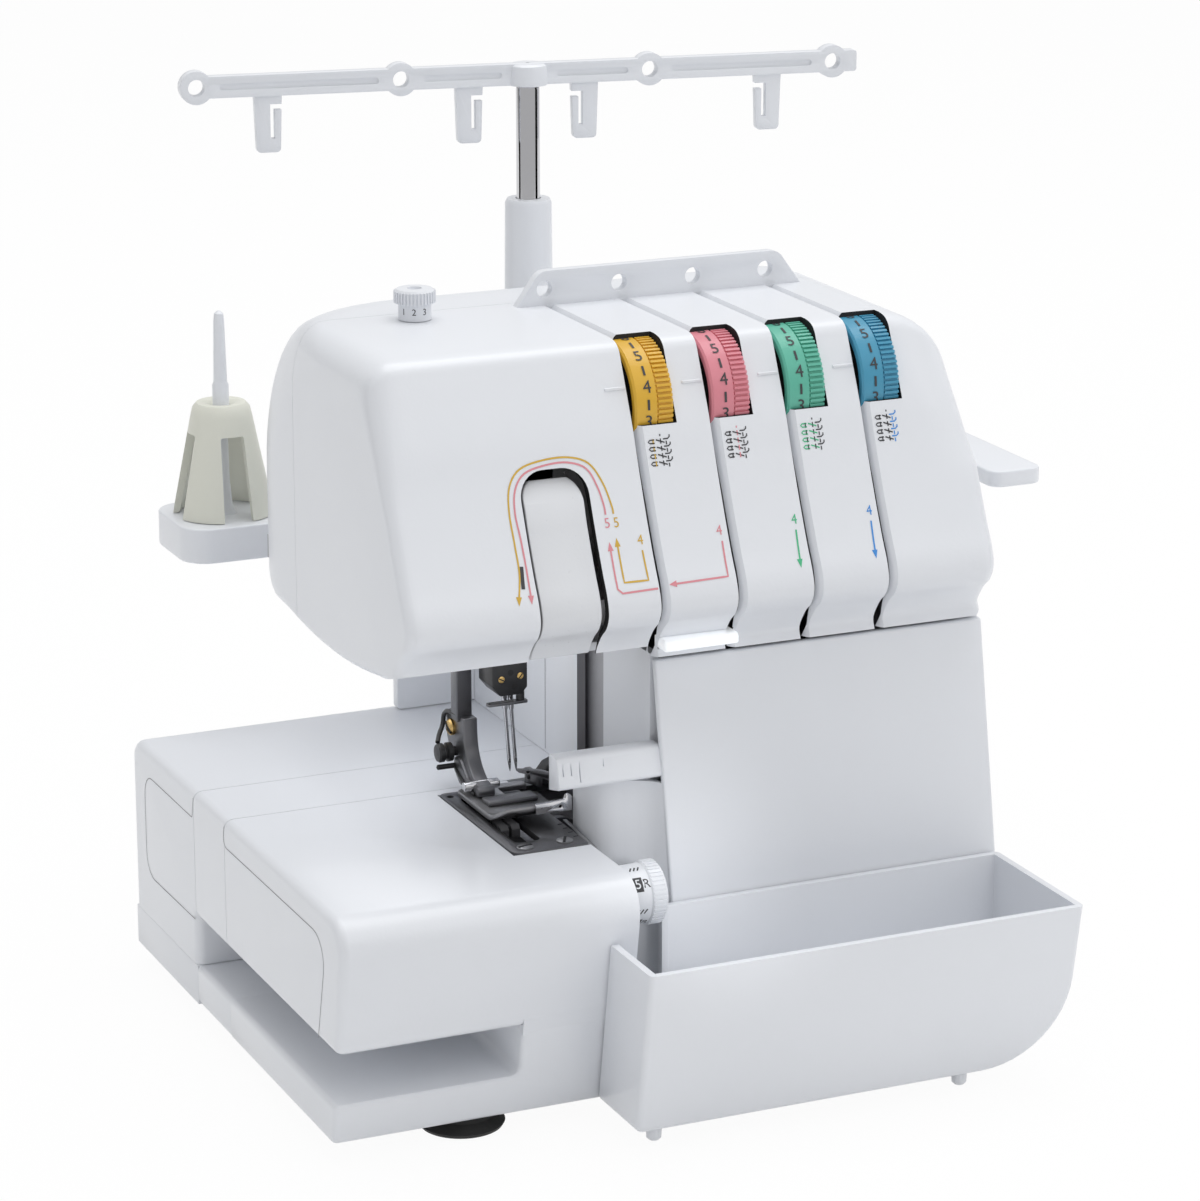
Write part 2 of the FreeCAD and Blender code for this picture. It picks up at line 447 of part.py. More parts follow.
def make_drive():
    """The main shaft, its handwheel and pulley, the motor, the belt and the controls on the right side."""
    def shaft(radius, low, high):
        return rod("x", "shaft_y", "shaft_z", radius, low, high)

    def motor(radius, low, high):
        return rod("x", "motor_y", "motor_z", radius, low, high)
    node("main_shaft", fuse(shaft("shaft_radius", "cast_left-2", "body_right+wheel_width"),
                            shaft("pulley_radius", "pulley_left", "pulley_right")))
    node("handwheel", cut(shaft("wheel_radius", "body_right+0.8", "body_right+0.8+wheel_width"),
                          shaft("shaft_radius", "pulley_left", "body_right+wheel_width")))
    node("motor", fuse(motor("motor_radius", "motor_left", "motor_right"),
                       motor("motor_radius-16", "motor_left-motor_cap", "motor_left")))
    node("motor_pulley", fuse(motor("motor_shaft_radius", "motor_right+0.3", "pulley_right"),
                              motor("motor_pulley_radius", "pulley_left", "pulley_right")))
    make_belt()
    for name, y in (("stitch_length_dial", "length_dial_y"), ("feed_ratio_dial", "feed_dial_y")):
        node(name, fuse(rod("x", y, "side_dial_z", "side_dial_radius", "body_right+gap", "body_right+8"),
                        rod("x", y, "side_dial_z", "spindle_radius", "cast_right+gap", "body_right+1")))
    node("power_switch", fuse(block(("body_right-2", "body_right+3.5"),
                                    ("rocker_y-rocker_half_width", "rocker_y+rocker_half_width"),
                                    ("rocker_z-rocker_half_height", "rocker_z+rocker_half_height")),
                              rod("y", "body_right-rocker_inset", "rocker_z", "rocker_pin",
                                  "rocker_y-rocker_half_width-2", "rocker_y+rocker_half_width+2")))

    def well(inset):
        return (("inlet_y-inlet_half_width+" + inset, "inlet_y+inlet_half_width-" + inset),
                ("inlet_z-inlet_half_height+" + inset, "inlet_z+inlet_half_height-" + inset))
    socket = cut(block(("cast_right+gap", "body_right"), *well("0")),
                 block(("cast_right+gap+inlet_wall+0.6", "body_right+1"), *well("inlet_wall")))
    pins = [rod("x", f"inlet_y{side}inlet_pin_space", "inlet_z", "inlet_pin", "cast_right+2", "body_right-2")
            for side in "-+"]
    node("power_inlet", fuse(socket, *pins))
    knob = rod("x", "width_dial_y", "width_dial_z", "width_dial_radius", "bed_right+1.5", "width_dial_right")
    node("width_dial", fuse(knob, rod("x", "width_dial_y", "width_dial_z", "spindle_radius",
                                      "arm_left-3", "bed_right+1.5")))


def make_belt():
    """The toothed belt, an open loop round the two pulleys: two arcs joined by tangent runs."""
    big = worth("pulley_radius")
    small = worth("motor_pulley_radius")
    low = FreeCAD.Vector(0, worth("shaft_y"), worth("shaft_z"))
    high = FreeCAD.Vector(0, worth("motor_y"), worth("motor_z"))
    span = high - low
    along = FreeCAD.Vector(span).normalize()
    lean = math.asin((big - small) / span.Length)
    across = FreeCAD.Vector(0, -along.z, along.y)

    def loop(extra):
        side = [along * math.sin(lean) + across * (sign * math.cos(lean)) for sign in (1, -1)]
        ends = [[centre + normal * (radius + extra) for normal in side]
                for centre, radius in ((low, big), (high, small))]
        under = low - along * (big + extra)
        over = high + along * (small + extra)
        return Part.Wire([Part.Arc(ends[0][0], under, ends[0][1]).toShape(),
                          Part.LineSegment(ends[0][1], ends[1][1]).toShape(),
                          Part.Arc(ends[1][1], over, ends[1][0]).toShape(),
                          Part.LineSegment(ends[1][0], ends[0][0]).toShape()])

    face = Part.Face(loop(0.3 + worth("belt_thick"))).cut(Part.Face(loop(0.3)))
    start = worth("pulley_left") + 0.5
    belt = DOC.addObject("Part::Feature", "Belt")
    belt.Shape = face.extrude(FreeCAD.Vector(worth("pulley_right") - 0.5 - start, 0, 0)).Solids[0]
    belt.Placement = FreeCAD.Placement(FreeCAD.Vector(start, 0, 0), FreeCAD.Rotation())
    node("drive_belt", belt)


def make_front():
    """The looper cover with its cloth guide, and the trim bin that hangs in front of it."""
    panel = prism("yz", [("cover_top_y", "head_bottom-1.5"), ("cover_foot_y", "cover_foot_z"),
                         ("cover_foot_y+wall", "cover_foot_z"), ("cover_top_y+wall", "head_bottom-1.5")],
                  "column_left", "body_right")
    shield = block(("bed_right+1", "column_left+shield_rib"), ("shield_front", "shield_back"),
                   ("shield_bottom", "guide_bottom"))
    rib = block(("column_left", "column_left+shield_rib"), ("rib_front", "shield_back"),
                ("shield_bottom", "guide_bottom"))
    node("front_cover", fuse(panel, shield, rib))
    node("cloth_guide", block(("guide_left", "column_left"), ("guide_front", "column_front-gap"),
                              ("guide_bottom", "guide_top")))

    def outline(inset):
        return [(f"bin_left+{inset}", f"{FRONT}+{inset}"), (f"body_right-{inset}", f"{FRONT}+{inset}"),
                (f"body_right-{inset}", f"bin_back-{inset}"), (f"bin_notch_x+{inset}", f"bin_back-{inset}"),
                (f"bin_notch_x+{inset}", f"bin_notch_y-{inset}"),
                (f"bin_left+{inset}", f"bin_notch_y-{inset}")]
    tray = cut(prism("xy", outline("0"), "bin_floor", "bin_rim"),
               prism("xy", outline("bin_wall"), "bin_floor+bin_wall", "bin_rim+1"))
    pegs = [rod("z", x, f"{FRONT}+18", "bin_peg", "bin_floor-bin_peg_drop", "bin_floor")
            for x in ("bin_left+8", "body_right-36")]
    node("trim_bin", fuse(tray, *pegs))


def make_stand():
    """The spool stand behind the head, its pins and cone holders, and the telescopic thread tree."""
    node("spool_stand", prism("xy", [
        ("stand_left", "stand_front"), ("neck_left", "stand_front"), ("neck_left", "head_back+gap"),
        ("neck_right", "head_back+gap"), ("neck_right", "stand_front"),
        (f"{RIGHT}-wing_width", "stand_front"), (f"{RIGHT}-wing_width", "wing_front"),
        (RIGHT, "wing_front"), (RIGHT, BACK), ("stand_left", BACK)],
        "stand_bottom", "stand_top"))
    node("spool_pins", group(*[rod("z", x, "pin_y", "pin_radius", "stand_top", "pin_top") for x in PINS]))
    window = ("stand_top", "cone_top-cone_band")
    for number, x in enumerate(PINS, start=1):
        cone = cut(rod("z", x, "pin_y", "cone_base", "stand_top+0.3", "cone_top", "cone_neck"),
                   rod("z", x, "pin_y", "pin_radius+0.3", "stand_top", "cone_top+1"),
                   rod("z", x, "pin_y", "cone_base-cone_wall", "stand_top", "cone_top-cone_cap",
                       "cone_neck-cone_wall"))
        across = ((f"{x}-cone_base-2", f"{x}+cone_base+2"), ("pin_y-cone_gap/2", "pin_y+cone_gap/2"), window)
        along = ((f"{x}-cone_gap/2", f"{x}+cone_gap/2"), ("pin_y-cone_base-2", "pin_y+cone_base+2"), window)
        node(f"cone_holder_{number}", cut(cone, block(*across), block(*along)))
    node("pole_tube", cut(rod("z", "pole_x", "pole_y", "tube_radius+tube_flare", "stand_top", "tube_top",
                              "tube_radius"),
                          rod("z", "pole_x", "pole_y", "pole_radius+run",
                              "stand_top+tube_floor", "tube_top+1")))
    make_tree()


def make_tree():
    """The telescopic rod and the bar on it, with its thread eyelets and hooks."""
    middle = "tree_top-eyelet_radius"
    low, high = f"{middle}-bar_height/2", f"{middle}+bar_height/2"
    node("pole_rod", rod("z", "pole_x", "pole_y", "pole_radius", "stand_top+pole_foot", f"{low}-0.3"))
    thick = ("-bar_thick/2", "bar_thick/2")
    pieces = [block(("-bar_length/2", "bar_length/2"), thick, (low, high)),
              rod("z", "0", "0", "tree_boss", low, high)]
    pieces += [rod("y", spot, middle, "eyelet_radius", *thick) for spot in EYELETS]
    pieces += [block((f"{spot}-hook_width/2", f"{spot}+hook_width/2"), ("-hook_thick/2", "hook_thick/2"),
                     (f"{low}-hook_drop", low)) for spot, _ in HOOKS]
    holes = [rod("y", spot, middle, "eyelet_hole", "-bar_thick", "bar_thick") for spot in EYELETS]
    for spot, side in HOOKS:
        slit = f"{spot}{side}hook_shift"
        holes.append(block((f"{slit}-hook_slit/2", f"{slit}+hook_slit/2"), ("-bar_thick", "bar_thick"),
                           (f"{low}-hook_drop+5", f"{low}-2")))
    tree = cut(fuse(*pieces), *holes)
    turn = FreeCAD.Rotation(FreeCAD.Vector(0, 0, 1), worth("tree_turn"))
    tree.Placement = FreeCAD.Placement(FreeCAD.Vector(), turn)
    place(tree, "pole_x", "pole_y", "0")
    node("thread_tree", tree)


def main():
    """Build every sub-part, check it and write it."""
    for make in (make_base, make_frame, make_head, make_tension, make_sewing, make_drive, make_front,
                 make_stand):
        make()
    DOC.recompute()
    faults = [thing.Label for thing in DOC.Objects if {"Invalid", "Error"} & set(thing.State)]
    faults += [label for label, thing in NODES.items() if thing.Shape.isNull() or not thing.Shape.isValid()]
    if faults:
        raise RuntimeError("failed: " + ", ".join(faults))
    os.makedirs("parts", exist_ok=True)
    for label, thing in NODES.items():
        print(label, len(thing.Shape.Solids), "solids")
        thing.Shape.exportStep(f"parts/{label}.step")


main()
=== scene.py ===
"""Looks of a four-thread overlock sewing machine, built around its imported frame. Sizes here are in millimetres."""
import logging
import math
from dataclasses import dataclass, field
from enum import Enum
from typing import Callable, Iterable, Sequence

import bmesh
import bpy
from mathutils import Matrix, Vector


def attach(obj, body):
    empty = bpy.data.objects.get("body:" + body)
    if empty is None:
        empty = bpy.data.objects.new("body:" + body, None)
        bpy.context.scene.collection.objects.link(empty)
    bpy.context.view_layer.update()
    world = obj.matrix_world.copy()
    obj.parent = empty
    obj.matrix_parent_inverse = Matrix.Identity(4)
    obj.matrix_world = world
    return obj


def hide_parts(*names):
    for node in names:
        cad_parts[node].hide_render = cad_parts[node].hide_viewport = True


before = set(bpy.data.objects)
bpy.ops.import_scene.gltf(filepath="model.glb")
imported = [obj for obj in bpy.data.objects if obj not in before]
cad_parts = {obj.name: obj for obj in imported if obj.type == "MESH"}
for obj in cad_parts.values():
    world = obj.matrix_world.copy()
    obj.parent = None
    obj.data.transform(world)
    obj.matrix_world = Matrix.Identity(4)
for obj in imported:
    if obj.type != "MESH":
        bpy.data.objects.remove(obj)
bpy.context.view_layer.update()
LOG = logging.getLogger("overlock")
MM = 0.001
SLOTS = (-49.0, -22.1, 4.8, 31.7)  # where the four threads run, across the head
KNOB = (-95.6, 10.0)  # the pressure knob's axis
PRINT_LIFT = 0.06  # how far a print stands off its surface
MOTTLE_SCALE = 14.0  # patches of slightly different colour per metre
GLOSS_SPREAD = 0.12  # how much the roughness wanders
BUMP_DEPTH = 0.0004  # depth of the grain in metres
COAT_ROUGH = 0.08  # roughness of the lacquer
Point = tuple[float, float]
Spot = tuple[float, float, float]
Rgb = tuple[float, float, float]


class Axis(Enum):
    """The axis that an outline is swept along or a turned piece spins about."""

    X = "x"
    Y = "y"
    Z = "z"

    def spot(self, u: float, v: float, w: float) -> Spot:
        """A point from two outline coordinates and the distance along this axis."""
        return {"x": (w, u, v), "y": (u, w, v), "z": (u, v, w)}[self.value]


class Value:
    """A shader value that adds Math nodes when it is used in an expression."""

    def __init__(self, tree: bpy.types.NodeTree, socket: bpy.types.NodeSocket) -> None:
        """Wrap one output socket of a tree."""
        self.tree = tree
        self.socket = socket

    def _math(self, operation: str, first: object, second: object) -> "Value":
        """Add a Math node on two operands and return its result."""
        maths = self.tree.nodes.new("ShaderNodeMath")
        maths.operation = operation
        for slot, operand in zip(maths.inputs, (first, second)):
            if isinstance(operand, Value):
                self.tree.links.new(operand.socket, slot)
            else:
                slot.default_value = operand
        return Value(self.tree, maths.outputs[0])

    def __add__(self, other: object) -> "Value":
        """Sum."""
        return self._math("ADD", self, other)

    def __mul__(self, other: object) -> "Value":
        """Product."""
        return self._math("MULTIPLY", self, other)


class Recipe:
    """Builds one material's node tree."""

    def __init__(self, name: str) -> None:
        """Start a material with only its shader and output."""
        self.material = bpy.data.materials.new(name)
        self.material.use_nodes = True
        self.tree = self.material.node_tree
        self.shader = self.tree.nodes["Principled BSDF"]

    def node(self, kind: str, settings: dict[str, object] | None = None, out: str | int = 0,
             **inputs: object) -> Value:
        """Add any node.

        Args:
            kind: the node's type name.
            settings: properties set before its sockets.
            out: the output to return.
            inputs: socket values or links, with spaces written as underscores.

        Returns:
            The chosen output.
        """
        made = self.tree.nodes.new(kind)
        for key, value in (settings or {}).items():
            setattr(made, key, value)
        for key, value in inputs.items():
            self.feed(made.inputs[int(key[1:]) if key[1:].isdigit() else key.replace("_", " ")], value)
        return Value(self.tree, made.outputs[out])

    def feed(self, socket: bpy.types.NodeSocket, value: object) -> None:
        """Link a value to a socket, or set a constant on it."""
        if isinstance(value, Value):
            self.tree.links.new(value.socket, socket)
        else:
            socket.default_value = value

    def noise(self, scale: float, detail: float = 3.0, stretch: Spot = (1, 1, 1)) -> Value:
        """Noise on Object coordinates."""
        place = self.node("ShaderNodeTexCoord", out="Object")
        turned = self.node("ShaderNodeMapping", Vector=place, Scale=stretch)
        return self.node("ShaderNodeTexNoise", Vector=turned, Scale=scale, Detail=detail)


@dataclass(frozen=True)
class Finish:
    """How one surface looks: colour with slight mottling, gloss with slight variation, and a fine grain."""

    name: str
    slot: str
    colour: Rgb
    rough: float = 0.35
    metal: float = 0.0
    mottle: float = 0.03
    grain: float = 900.0
    relief: float = 0.06
    coat: float = 0.0
    streak: Spot = (1, 1, 1)
    glow: float = 0.0

    def material(self) -> bpy.types.Material:
        """The finish's material, made once."""
        found = bpy.data.materials.get(self.name)
        return found or self._make()

    def _make(self) -> bpy.types.Material:
        """Build the material from its noise-driven colour, roughness and bump."""
        recipe = Recipe(self.name)
        shader = recipe.shader
        soft = recipe.noise(MOTTLE_SCALE)
        fine = recipe.noise(self.grain, 2.0, self.streak)
        dark = tuple(c * (1 - self.mottle) for c in self.colour) + (1,)
        light = tuple(min(1, c * (1 + self.mottle * 0.5)) for c in self.colour) + (1,)
        tint = recipe.node("ShaderNodeMix", {"data_type": "RGBA"}, out=2, _0=soft, _6=dark, _7=light)
        recipe.feed(shader.inputs["Base Color"], tint)
        recipe.feed(shader.inputs["Roughness"], fine * GLOSS_SPREAD + (self.rough - GLOSS_SPREAD / 2))
        bump = recipe.node("ShaderNodeBump", Strength=self.relief, Distance=BUMP_DEPTH, Height=fine)
        recipe.feed(shader.inputs["Normal"], bump)
        shader.inputs["Metallic"].default_value = self.metal
        shader.inputs["Coat Weight"].default_value = self.coat
        shader.inputs["Coat Roughness"].default_value = COAT_ROUGH
        if self.glow:
            shader.inputs["Emission Color"].default_value = self.colour + (1,)
            shader.inputs["Emission Strength"].default_value = self.glow
        return recipe.material


WHITE = Finish("white_moulding", "white", (0.785, 0.805, 0.845), 0.33, coat=0.15)
CREAM = Finish("cream_moulding", "cream", (0.74, 0.745, 0.665), 0.45)
SILVER = Finish("silver_grey_moulding", "grey", (0.73, 0.745, 0.775), 0.30, coat=0.2)
SHADE = Finish("dark_inside", "black", (0.012, 0.012, 0.013), 0.7)
BLACK = Finish("blackened_steel", "black", (0.03, 0.03, 0.032), 0.35, 0.4)
RUBBER = Finish("black_rubber", "rubber", (0.02, 0.02, 0.02), 0.75, relief=0.2)
STEEL = Finish("ground_steel", "steel", (0.36, 0.36, 0.37), 0.30, 0.95, streak=(1, 12, 1), relief=0.12)
DARK_STEEL = Finish("worn_steel", "steel", (0.17, 0.17, 0.18), 0.33, 0.9, streak=(1, 10, 1), relief=0.12)
CHROME = Finish("chrome_tube", "chrome", (0.62, 0.62, 0.64), 0.08, 1.0, mottle=0.01, relief=0.01)
BRASS = Finish("brass_screw", "bronze", (0.62, 0.42, 0.16), 0.28, 0.95)
CASTING = Finish("cast_aluminium", "casting", (0.52, 0.52, 0.54), 0.55, 0.8, relief=0.35, grain=500)
ENAMEL = Finish("dark_enamel", "motor_paint", (0.06, 0.06, 0.065), 0.4)
CLEAR = Finish("clear_lens", "clear", (0.93, 0.95, 0.97), 0.08, coat=0.6, glow=0.35)
# dark grey for the real parting lines, and also used as painted shade in the column's opening
SEAM_AND_SHADE = Finish("seam_line_and_painted_shade", "white", (0.30, 0.30, 0.32), 0.6)
INK = Finish("grey_print", "black", (0.05, 0.05, 0.055), 0.5)
YELLOW = Finish("yellow_dial", "yellow", (0.72, 0.42, 0.035), 0.36, coat=0.1)
PINK = Finish("pink_dial", "pink", (0.70, 0.24, 0.29), 0.36, coat=0.1)
GREEN = Finish("green_dial", "green", (0.11, 0.46, 0.34), 0.36, coat=0.1)
BLUE = Finish("blue_dial", "blue", (0.06, 0.30, 0.46), 0.36, coat=0.1)
YELLOW_INK = Finish("yellow_print", "yellow", (0.66, 0.42, 0.06), 0.5)
PINK_INK = Finish("pink_print", "pink", (0.74, 0.28, 0.32), 0.5)
GREEN_INK = Finish("green_print", "green", (0.08, 0.50, 0.25), 0.5)
BLUE_INK = Finish("blue_print", "blue", (0.06, 0.28, 0.70), 0.5)


class Bench:
    """Makes, cuts, rounds and finishes meshes."""

    @staticmethod
    def piece(name: str, spots: Iterable[Spot], faces: Iterable[Sequence[int]], finish: Finish) -> bpy.types.Object:
        """A mesh piece from millimetre points and faces, with its normals made to agree."""
        mesh = bpy.data.meshes.new(name)
        mesh.from_pydata([Vector(s) * MM for s in spots], [], [list(f) for f in faces])
        mesh.materials.append(finish.material())
        Bench.agree(mesh)
        return Bench.show(name, mesh)

    @staticmethod
    def show(name: str, data: bpy.types.ID) -> bpy.types.Object:
        """Put a mesh, curve, lamp or camera in the scene."""
        made = bpy.data.objects.new(name, data)
        bpy.context.scene.collection.objects.link(made)
        return made

    @staticmethod
    def agree(mesh: bpy.types.Mesh) -> None:
        """Turn a mesh's faces the same way out."""
        work = bmesh.new()
        work.from_mesh(mesh)
        bmesh.ops.recalc_face_normals(work, faces=work.faces)
        work.to_mesh(mesh)
        work.free()

    @staticmethod
    def plain(shown: bpy.types.Object) -> bpy.types.Mesh:
        """An object's shape as plain mesh, with its modifiers or bevels worked in."""
        bpy.context.view_layer.update()
        return bpy.data.meshes.new_from_object(shown.evaluated_get(bpy.context.evaluated_depsgraph_get()))

    @classmethod
    def prism(cls, name: str, outline: Sequence[Point], axis: Axis, low: float, high: float,
              finish: Finish) -> bpy.types.Object:
        """An outline swept straight along an axis, closed at both ends."""
        return cls.loft(name, [[axis.spot(u, v, w) for u, v in outline] for w in (low, high)], finish)

    @classmethod
    def loft(cls, name: str, rings: Sequence[Sequence[Spot]], finish: Finish) -> bpy.types.Object:
        """A skin over rings of as many points each, closed at both ends."""
        count, spots = len(rings[0]), [spot for ring in rings for spot in ring]
        faces: list[Sequence[int]] = [range(count), range(len(spots) - count, len(spots))]
        return cls.piece(name, spots, faces + cls.sides(len(rings), count), finish)

    @staticmethod
    def sides(rows: int, count: int) -> list[Sequence[int]]:
        """The four-sided faces between rows of points that go round."""
        faces: list[Sequence[int]] = []
        for low in range(0, (rows - 1) * count, count):
            for k in range(count):
                a, b = low + k, low + (k + 1) % count
                faces.append((a, b, b + count, a + count))
        return faces

    @classmethod
    def block(cls, name: str, low: Spot, high: Spot, finish: Finish, bevel: float = 0.0) -> bpy.types.Object:
        """A box between two corners, with rounded edges."""
        outline = [(low[0], low[1]), (high[0], low[1]), (high[0], high[1]), (low[0], high[1])]
        made = cls.prism(name, outline, Axis.Z, low[2], high[2], finish)
        return cls.soften(made, bevel, 3, 35) if bevel else made

    @classmethod
    def turned(cls, name: str, axis: Axis, centre: Point, profile: Sequence[Point], finish: Finish,
               steps: int) -> bpy.types.Object:
        """A closed lathe shape.

        Args:
            name: the piece's name.
            axis: the axis that it spins about.
            centre: its place on the other two axes.
            profile: radius and distance along the axis, from one end to the other; closed at radius 0.
            finish: its finish.
            steps: segments round the axis.

        Returns:
            The piece.
        """
        spots = [axis.spot(u, v, along) for radius, along in profile
                 for u, v in Draw.arc(centre, radius, 0, math.tau, steps)[:-1]]
        faces = cls.sides(len(profile), steps)
        faces += [range(steps), range(len(spots) - steps, len(spots))]
        made = cls.piece(name, spots, faces, finish)
        return cls.smooth(made)

    @classmethod
    def freeze(cls, made: bpy.types.Object) -> None:
        """Turn a piece's modifiers into plain mesh."""
        old, made.data = made.data, cls.plain(made)
        made.modifiers.clear()
        bpy.data.meshes.remove(old)

    @classmethod
    def combine(cls, operation: str, made: bpy.types.Object, *others: bpy.types.Object) -> bpy.types.Object:
        """Cut closed shapes out of a piece or fuse them with it; new faces take the finish of the shape."""
        for other in others:
            step = made.modifiers.new("combine", "BOOLEAN")
            step.object, step.operation = other, operation
            step.solver, step.material_mode = "MANIFOLD", "TRANSFER"
        cls.freeze(made)
        for other in others:
            bpy.data.objects.remove(other)
        return made

    @classmethod
    def carve(cls, made: bpy.types.Object, *cutters: bpy.types.Object) -> bpy.types.Object:
        """Cut shapes out of a piece."""
        return cls.combine("DIFFERENCE", made, *cutters)

    @classmethod
    def soften(cls, made: bpy.types.Object, width: float, steps: int = 2, angle: float = 40) -> bpy.types.Object:
        """Round a piece's edges and shade it smoothly."""
        bevel = made.modifiers.new("round", "BEVEL")
        bevel.width, bevel.segments = width * MM, steps
        bevel.limit_method, bevel.angle_limit = "ANGLE", math.radians(angle)
        bevel.use_clamp_overlap = True
        cls.freeze(made)
        return cls.smooth(made)

    @classmethod
    def part(cls, form: bpy.types.Object, name: str, planes: Sequence[tuple[Spot, Spot]],
             angle: float) -> bpy.types.Object:
        """A copy of a closed form without what lies beyond some planes, with each cut closed.

        Args:
            form: the form that is shared out.
            name: the part's name.
            planes: a point on each plane and the direction that is dropped.
            angle: edges sharper than this stay sharp.

        Returns:
            The part.
        """
        made = form.copy()
        made.data = form.data.copy()
        made.name = name
        bpy.context.scene.collection.objects.link(made)
        work = bmesh.new()
        work.from_mesh(made.data)
        for at, away in planes:
            cut = bmesh.ops.bisect_plane(work, geom=work.verts[:] + work.edges[:] + work.faces[:], dist=1e-7,
                                         plane_co=Vector(at) * MM, plane_no=away, clear_outer=True)["geom_cut"]
            rim = [item for item in cut if isinstance(item, bmesh.types.BMEdge)]
            bmesh.ops.triangle_fill(work, use_beauty=True, edges=rim, normal=away)
        work.to_mesh(made.data)
        work.free()
        return cls.smooth(made, angle)

    @staticmethod
    def smooth(made: bpy.types.Object, angle: float = 32) -> bpy.types.Object:
        """Smooth shading with sharp edges kept."""
        made.data.shade_smooth()
        made.data.set_sharp_from_angle(angle=math.radians(angle))
        return made

    @classmethod
    def join(cls, name: str, pieces: Sequence[bpy.types.Object]) -> bpy.types.Object:
        """Several meshes as one piece, keeping their finishes."""
        work = bmesh.new()
        finishes: list[bpy.types.Material] = []
        for made in pieces:
            first = len(work.faces)
            work.from_mesh(made.data)
            work.faces.ensure_lookup_table()
            lookup = []
            for material in made.data.materials:
                if material not in finishes:
                    finishes.append(material)
                lookup.append(finishes.index(material))
            for face in work.faces[first:]:
                face.material_index = lookup[face.material_index]
        mesh = bpy.data.meshes.new(name)
        work.to_mesh(mesh)
        work.free()
        for material in finishes:
            mesh.materials.append(material)
        for made in pieces:
            bpy.data.objects.remove(made)
        return cls.smooth(cls.show(name, mesh))

    @classmethod
    def assemble(cls, name: str, pieces: Sequence[bpy.types.Object], body: str, finish: Finish, *nodes: str) -> None:
        """Join meshes into one piece and hang it on its body."""
        cls.fit(cls.join(name, pieces), body, finish, *nodes)

    @staticmethod
    def fit(made: bpy.types.Object, body: str, finish: Finish, *nodes: str) -> None:
        """Hang a finished piece on its body, in the place of its CAD nodes."""
        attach(made, body)
        if nodes:
            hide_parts(*nodes)
        LOG.info("%s rides on %s (%d faces)", made.name, body, len(made.data.polygons))


class Draw:
    """Outlines, and prints laid on a surface."""

    @staticmethod
    def rounded(points: Sequence[tuple[float, float, float]], steps: int = 6) -> list[Point]:
        """A closed outline whose corners (u, v, radius) are rounded by arcs."""
        outline: list[Point] = []
        count = len(points)
        for i, (u, v, radius) in enumerate(points):
            here = Vector((u, v))
            back = (Vector(points[i - 1][:2]) - here).normalized()
            ahead = (Vector(points[(i + 1) % count][:2]) - here).normalized()
            if radius <= 0:
                outline.append((u, v))
                continue
            half = back.angle(ahead) / 2
            start = here + back * (radius / math.tan(half))
            centre = here + (back + ahead).normalized() * (radius / math.sin(half))
            first = start - centre
            sweep = (math.pi - 2 * half) * (1 if back.cross(ahead) < 0 else -1)
            for k in range(steps + 1):
                turn = Matrix.Rotation(sweep * k / steps, 2)
                outline.append(tuple(centre + turn @ first))
        return outline

    @staticmethod
    def arc(centre: Point, radius: float, start: float, stop: float, steps: int) -> list[Point]:
        """Points along an arc between two angles, both ends included."""
        turns = [start + (stop - start) * k / steps for k in range(steps + 1)]
        return [(centre[0] + radius * math.cos(turn), centre[1] + radius * math.sin(turn)) for turn in turns]

    @classmethod
    def rectangle(cls, low: Point, high: Point, radius: float, steps: int = 4) -> list[Point]:
        """A rectangle between two corners, all four rounded alike."""
        (u0, v0), (u1, v1) = low, high
        return cls.rounded([(u0, v0, radius), (u1, v0, radius), (u1, v1, radius), (u0, v1, radius)], steps)

    @staticmethod
    def smooth_line(points: Sequence[Point], steps: int = 5) -> list[Point]:
        """An open curve through points."""
        ends = [points[0], *points, points[-1]]
        line: list[Point] = []
        for a, b, c, d in zip(ends, ends[1:], ends[2:], ends[3:]):
            for k in range(steps):
                t = k / steps
                line.append(tuple(0.5 * (2 * q + (r - p) * t + (2 * p - 5 * q + 4 * r - s) * t * t
                                         + (3 * q - p - 3 * r + s) * t ** 3)
                                  for p, q, r, s in zip(a, b, c, d)))
        return line + [tuple(points[-1])]

    @staticmethod
    def stroke(name: str, path: Sequence[Point], width: float, lay: Callable[[float, float], Spot],
               finish: Finish) -> bpy.types.Object:
        """A printed line of even width along a path, laid on a surface."""
        dense: list[Vector] = []
        for a, b in zip(path, path[1:]):
            first, last = Vector(a), Vector(b)
            count = max(1, int((last - first).length / 1.5))
            dense += [first.lerp(last, k / count) for k in range(count)]
        dense.append(Vector(path[-1]))
        spots = []
        for i, here in enumerate(dense):
            run = (dense[min(i + 1, len(dense) - 1)] - dense[max(i - 1, 0)]).normalized()
            side = Vector((-run.y, run.x)) * width / 2
            spots += [lay(*(here + side)), lay(*(here - side))]
        faces = [(2 * i, 2 * i + 1, 2 * i + 3, 2 * i + 2) for i in range(len(dense) - 1)]
        return Bench.piece(name, spots, faces, finish)

    @staticmethod
    def text(words: str, size: float, at: Point, lay: Callable[[float, float], Spot],
             finish: Finish) -> bpy.types.Object:
        """Plain figures laid on a surface, centred on a place."""
        font = bpy.data.curves.new("figures", "FONT")
        font.body, font.size = words, size
        font.align_x = font.align_y = "CENTER"
        shown = Bench.show("figures", font)
        mesh = Bench.plain(shown)
        spots = [lay(at[0] + v.co.x, at[1] + v.co.y) for v in mesh.vertices]
        faces = [list(p.vertices) for p in mesh.polygons]
        bpy.data.objects.remove(shown)
        return Bench.piece("figures_" + words, spots, faces, finish)


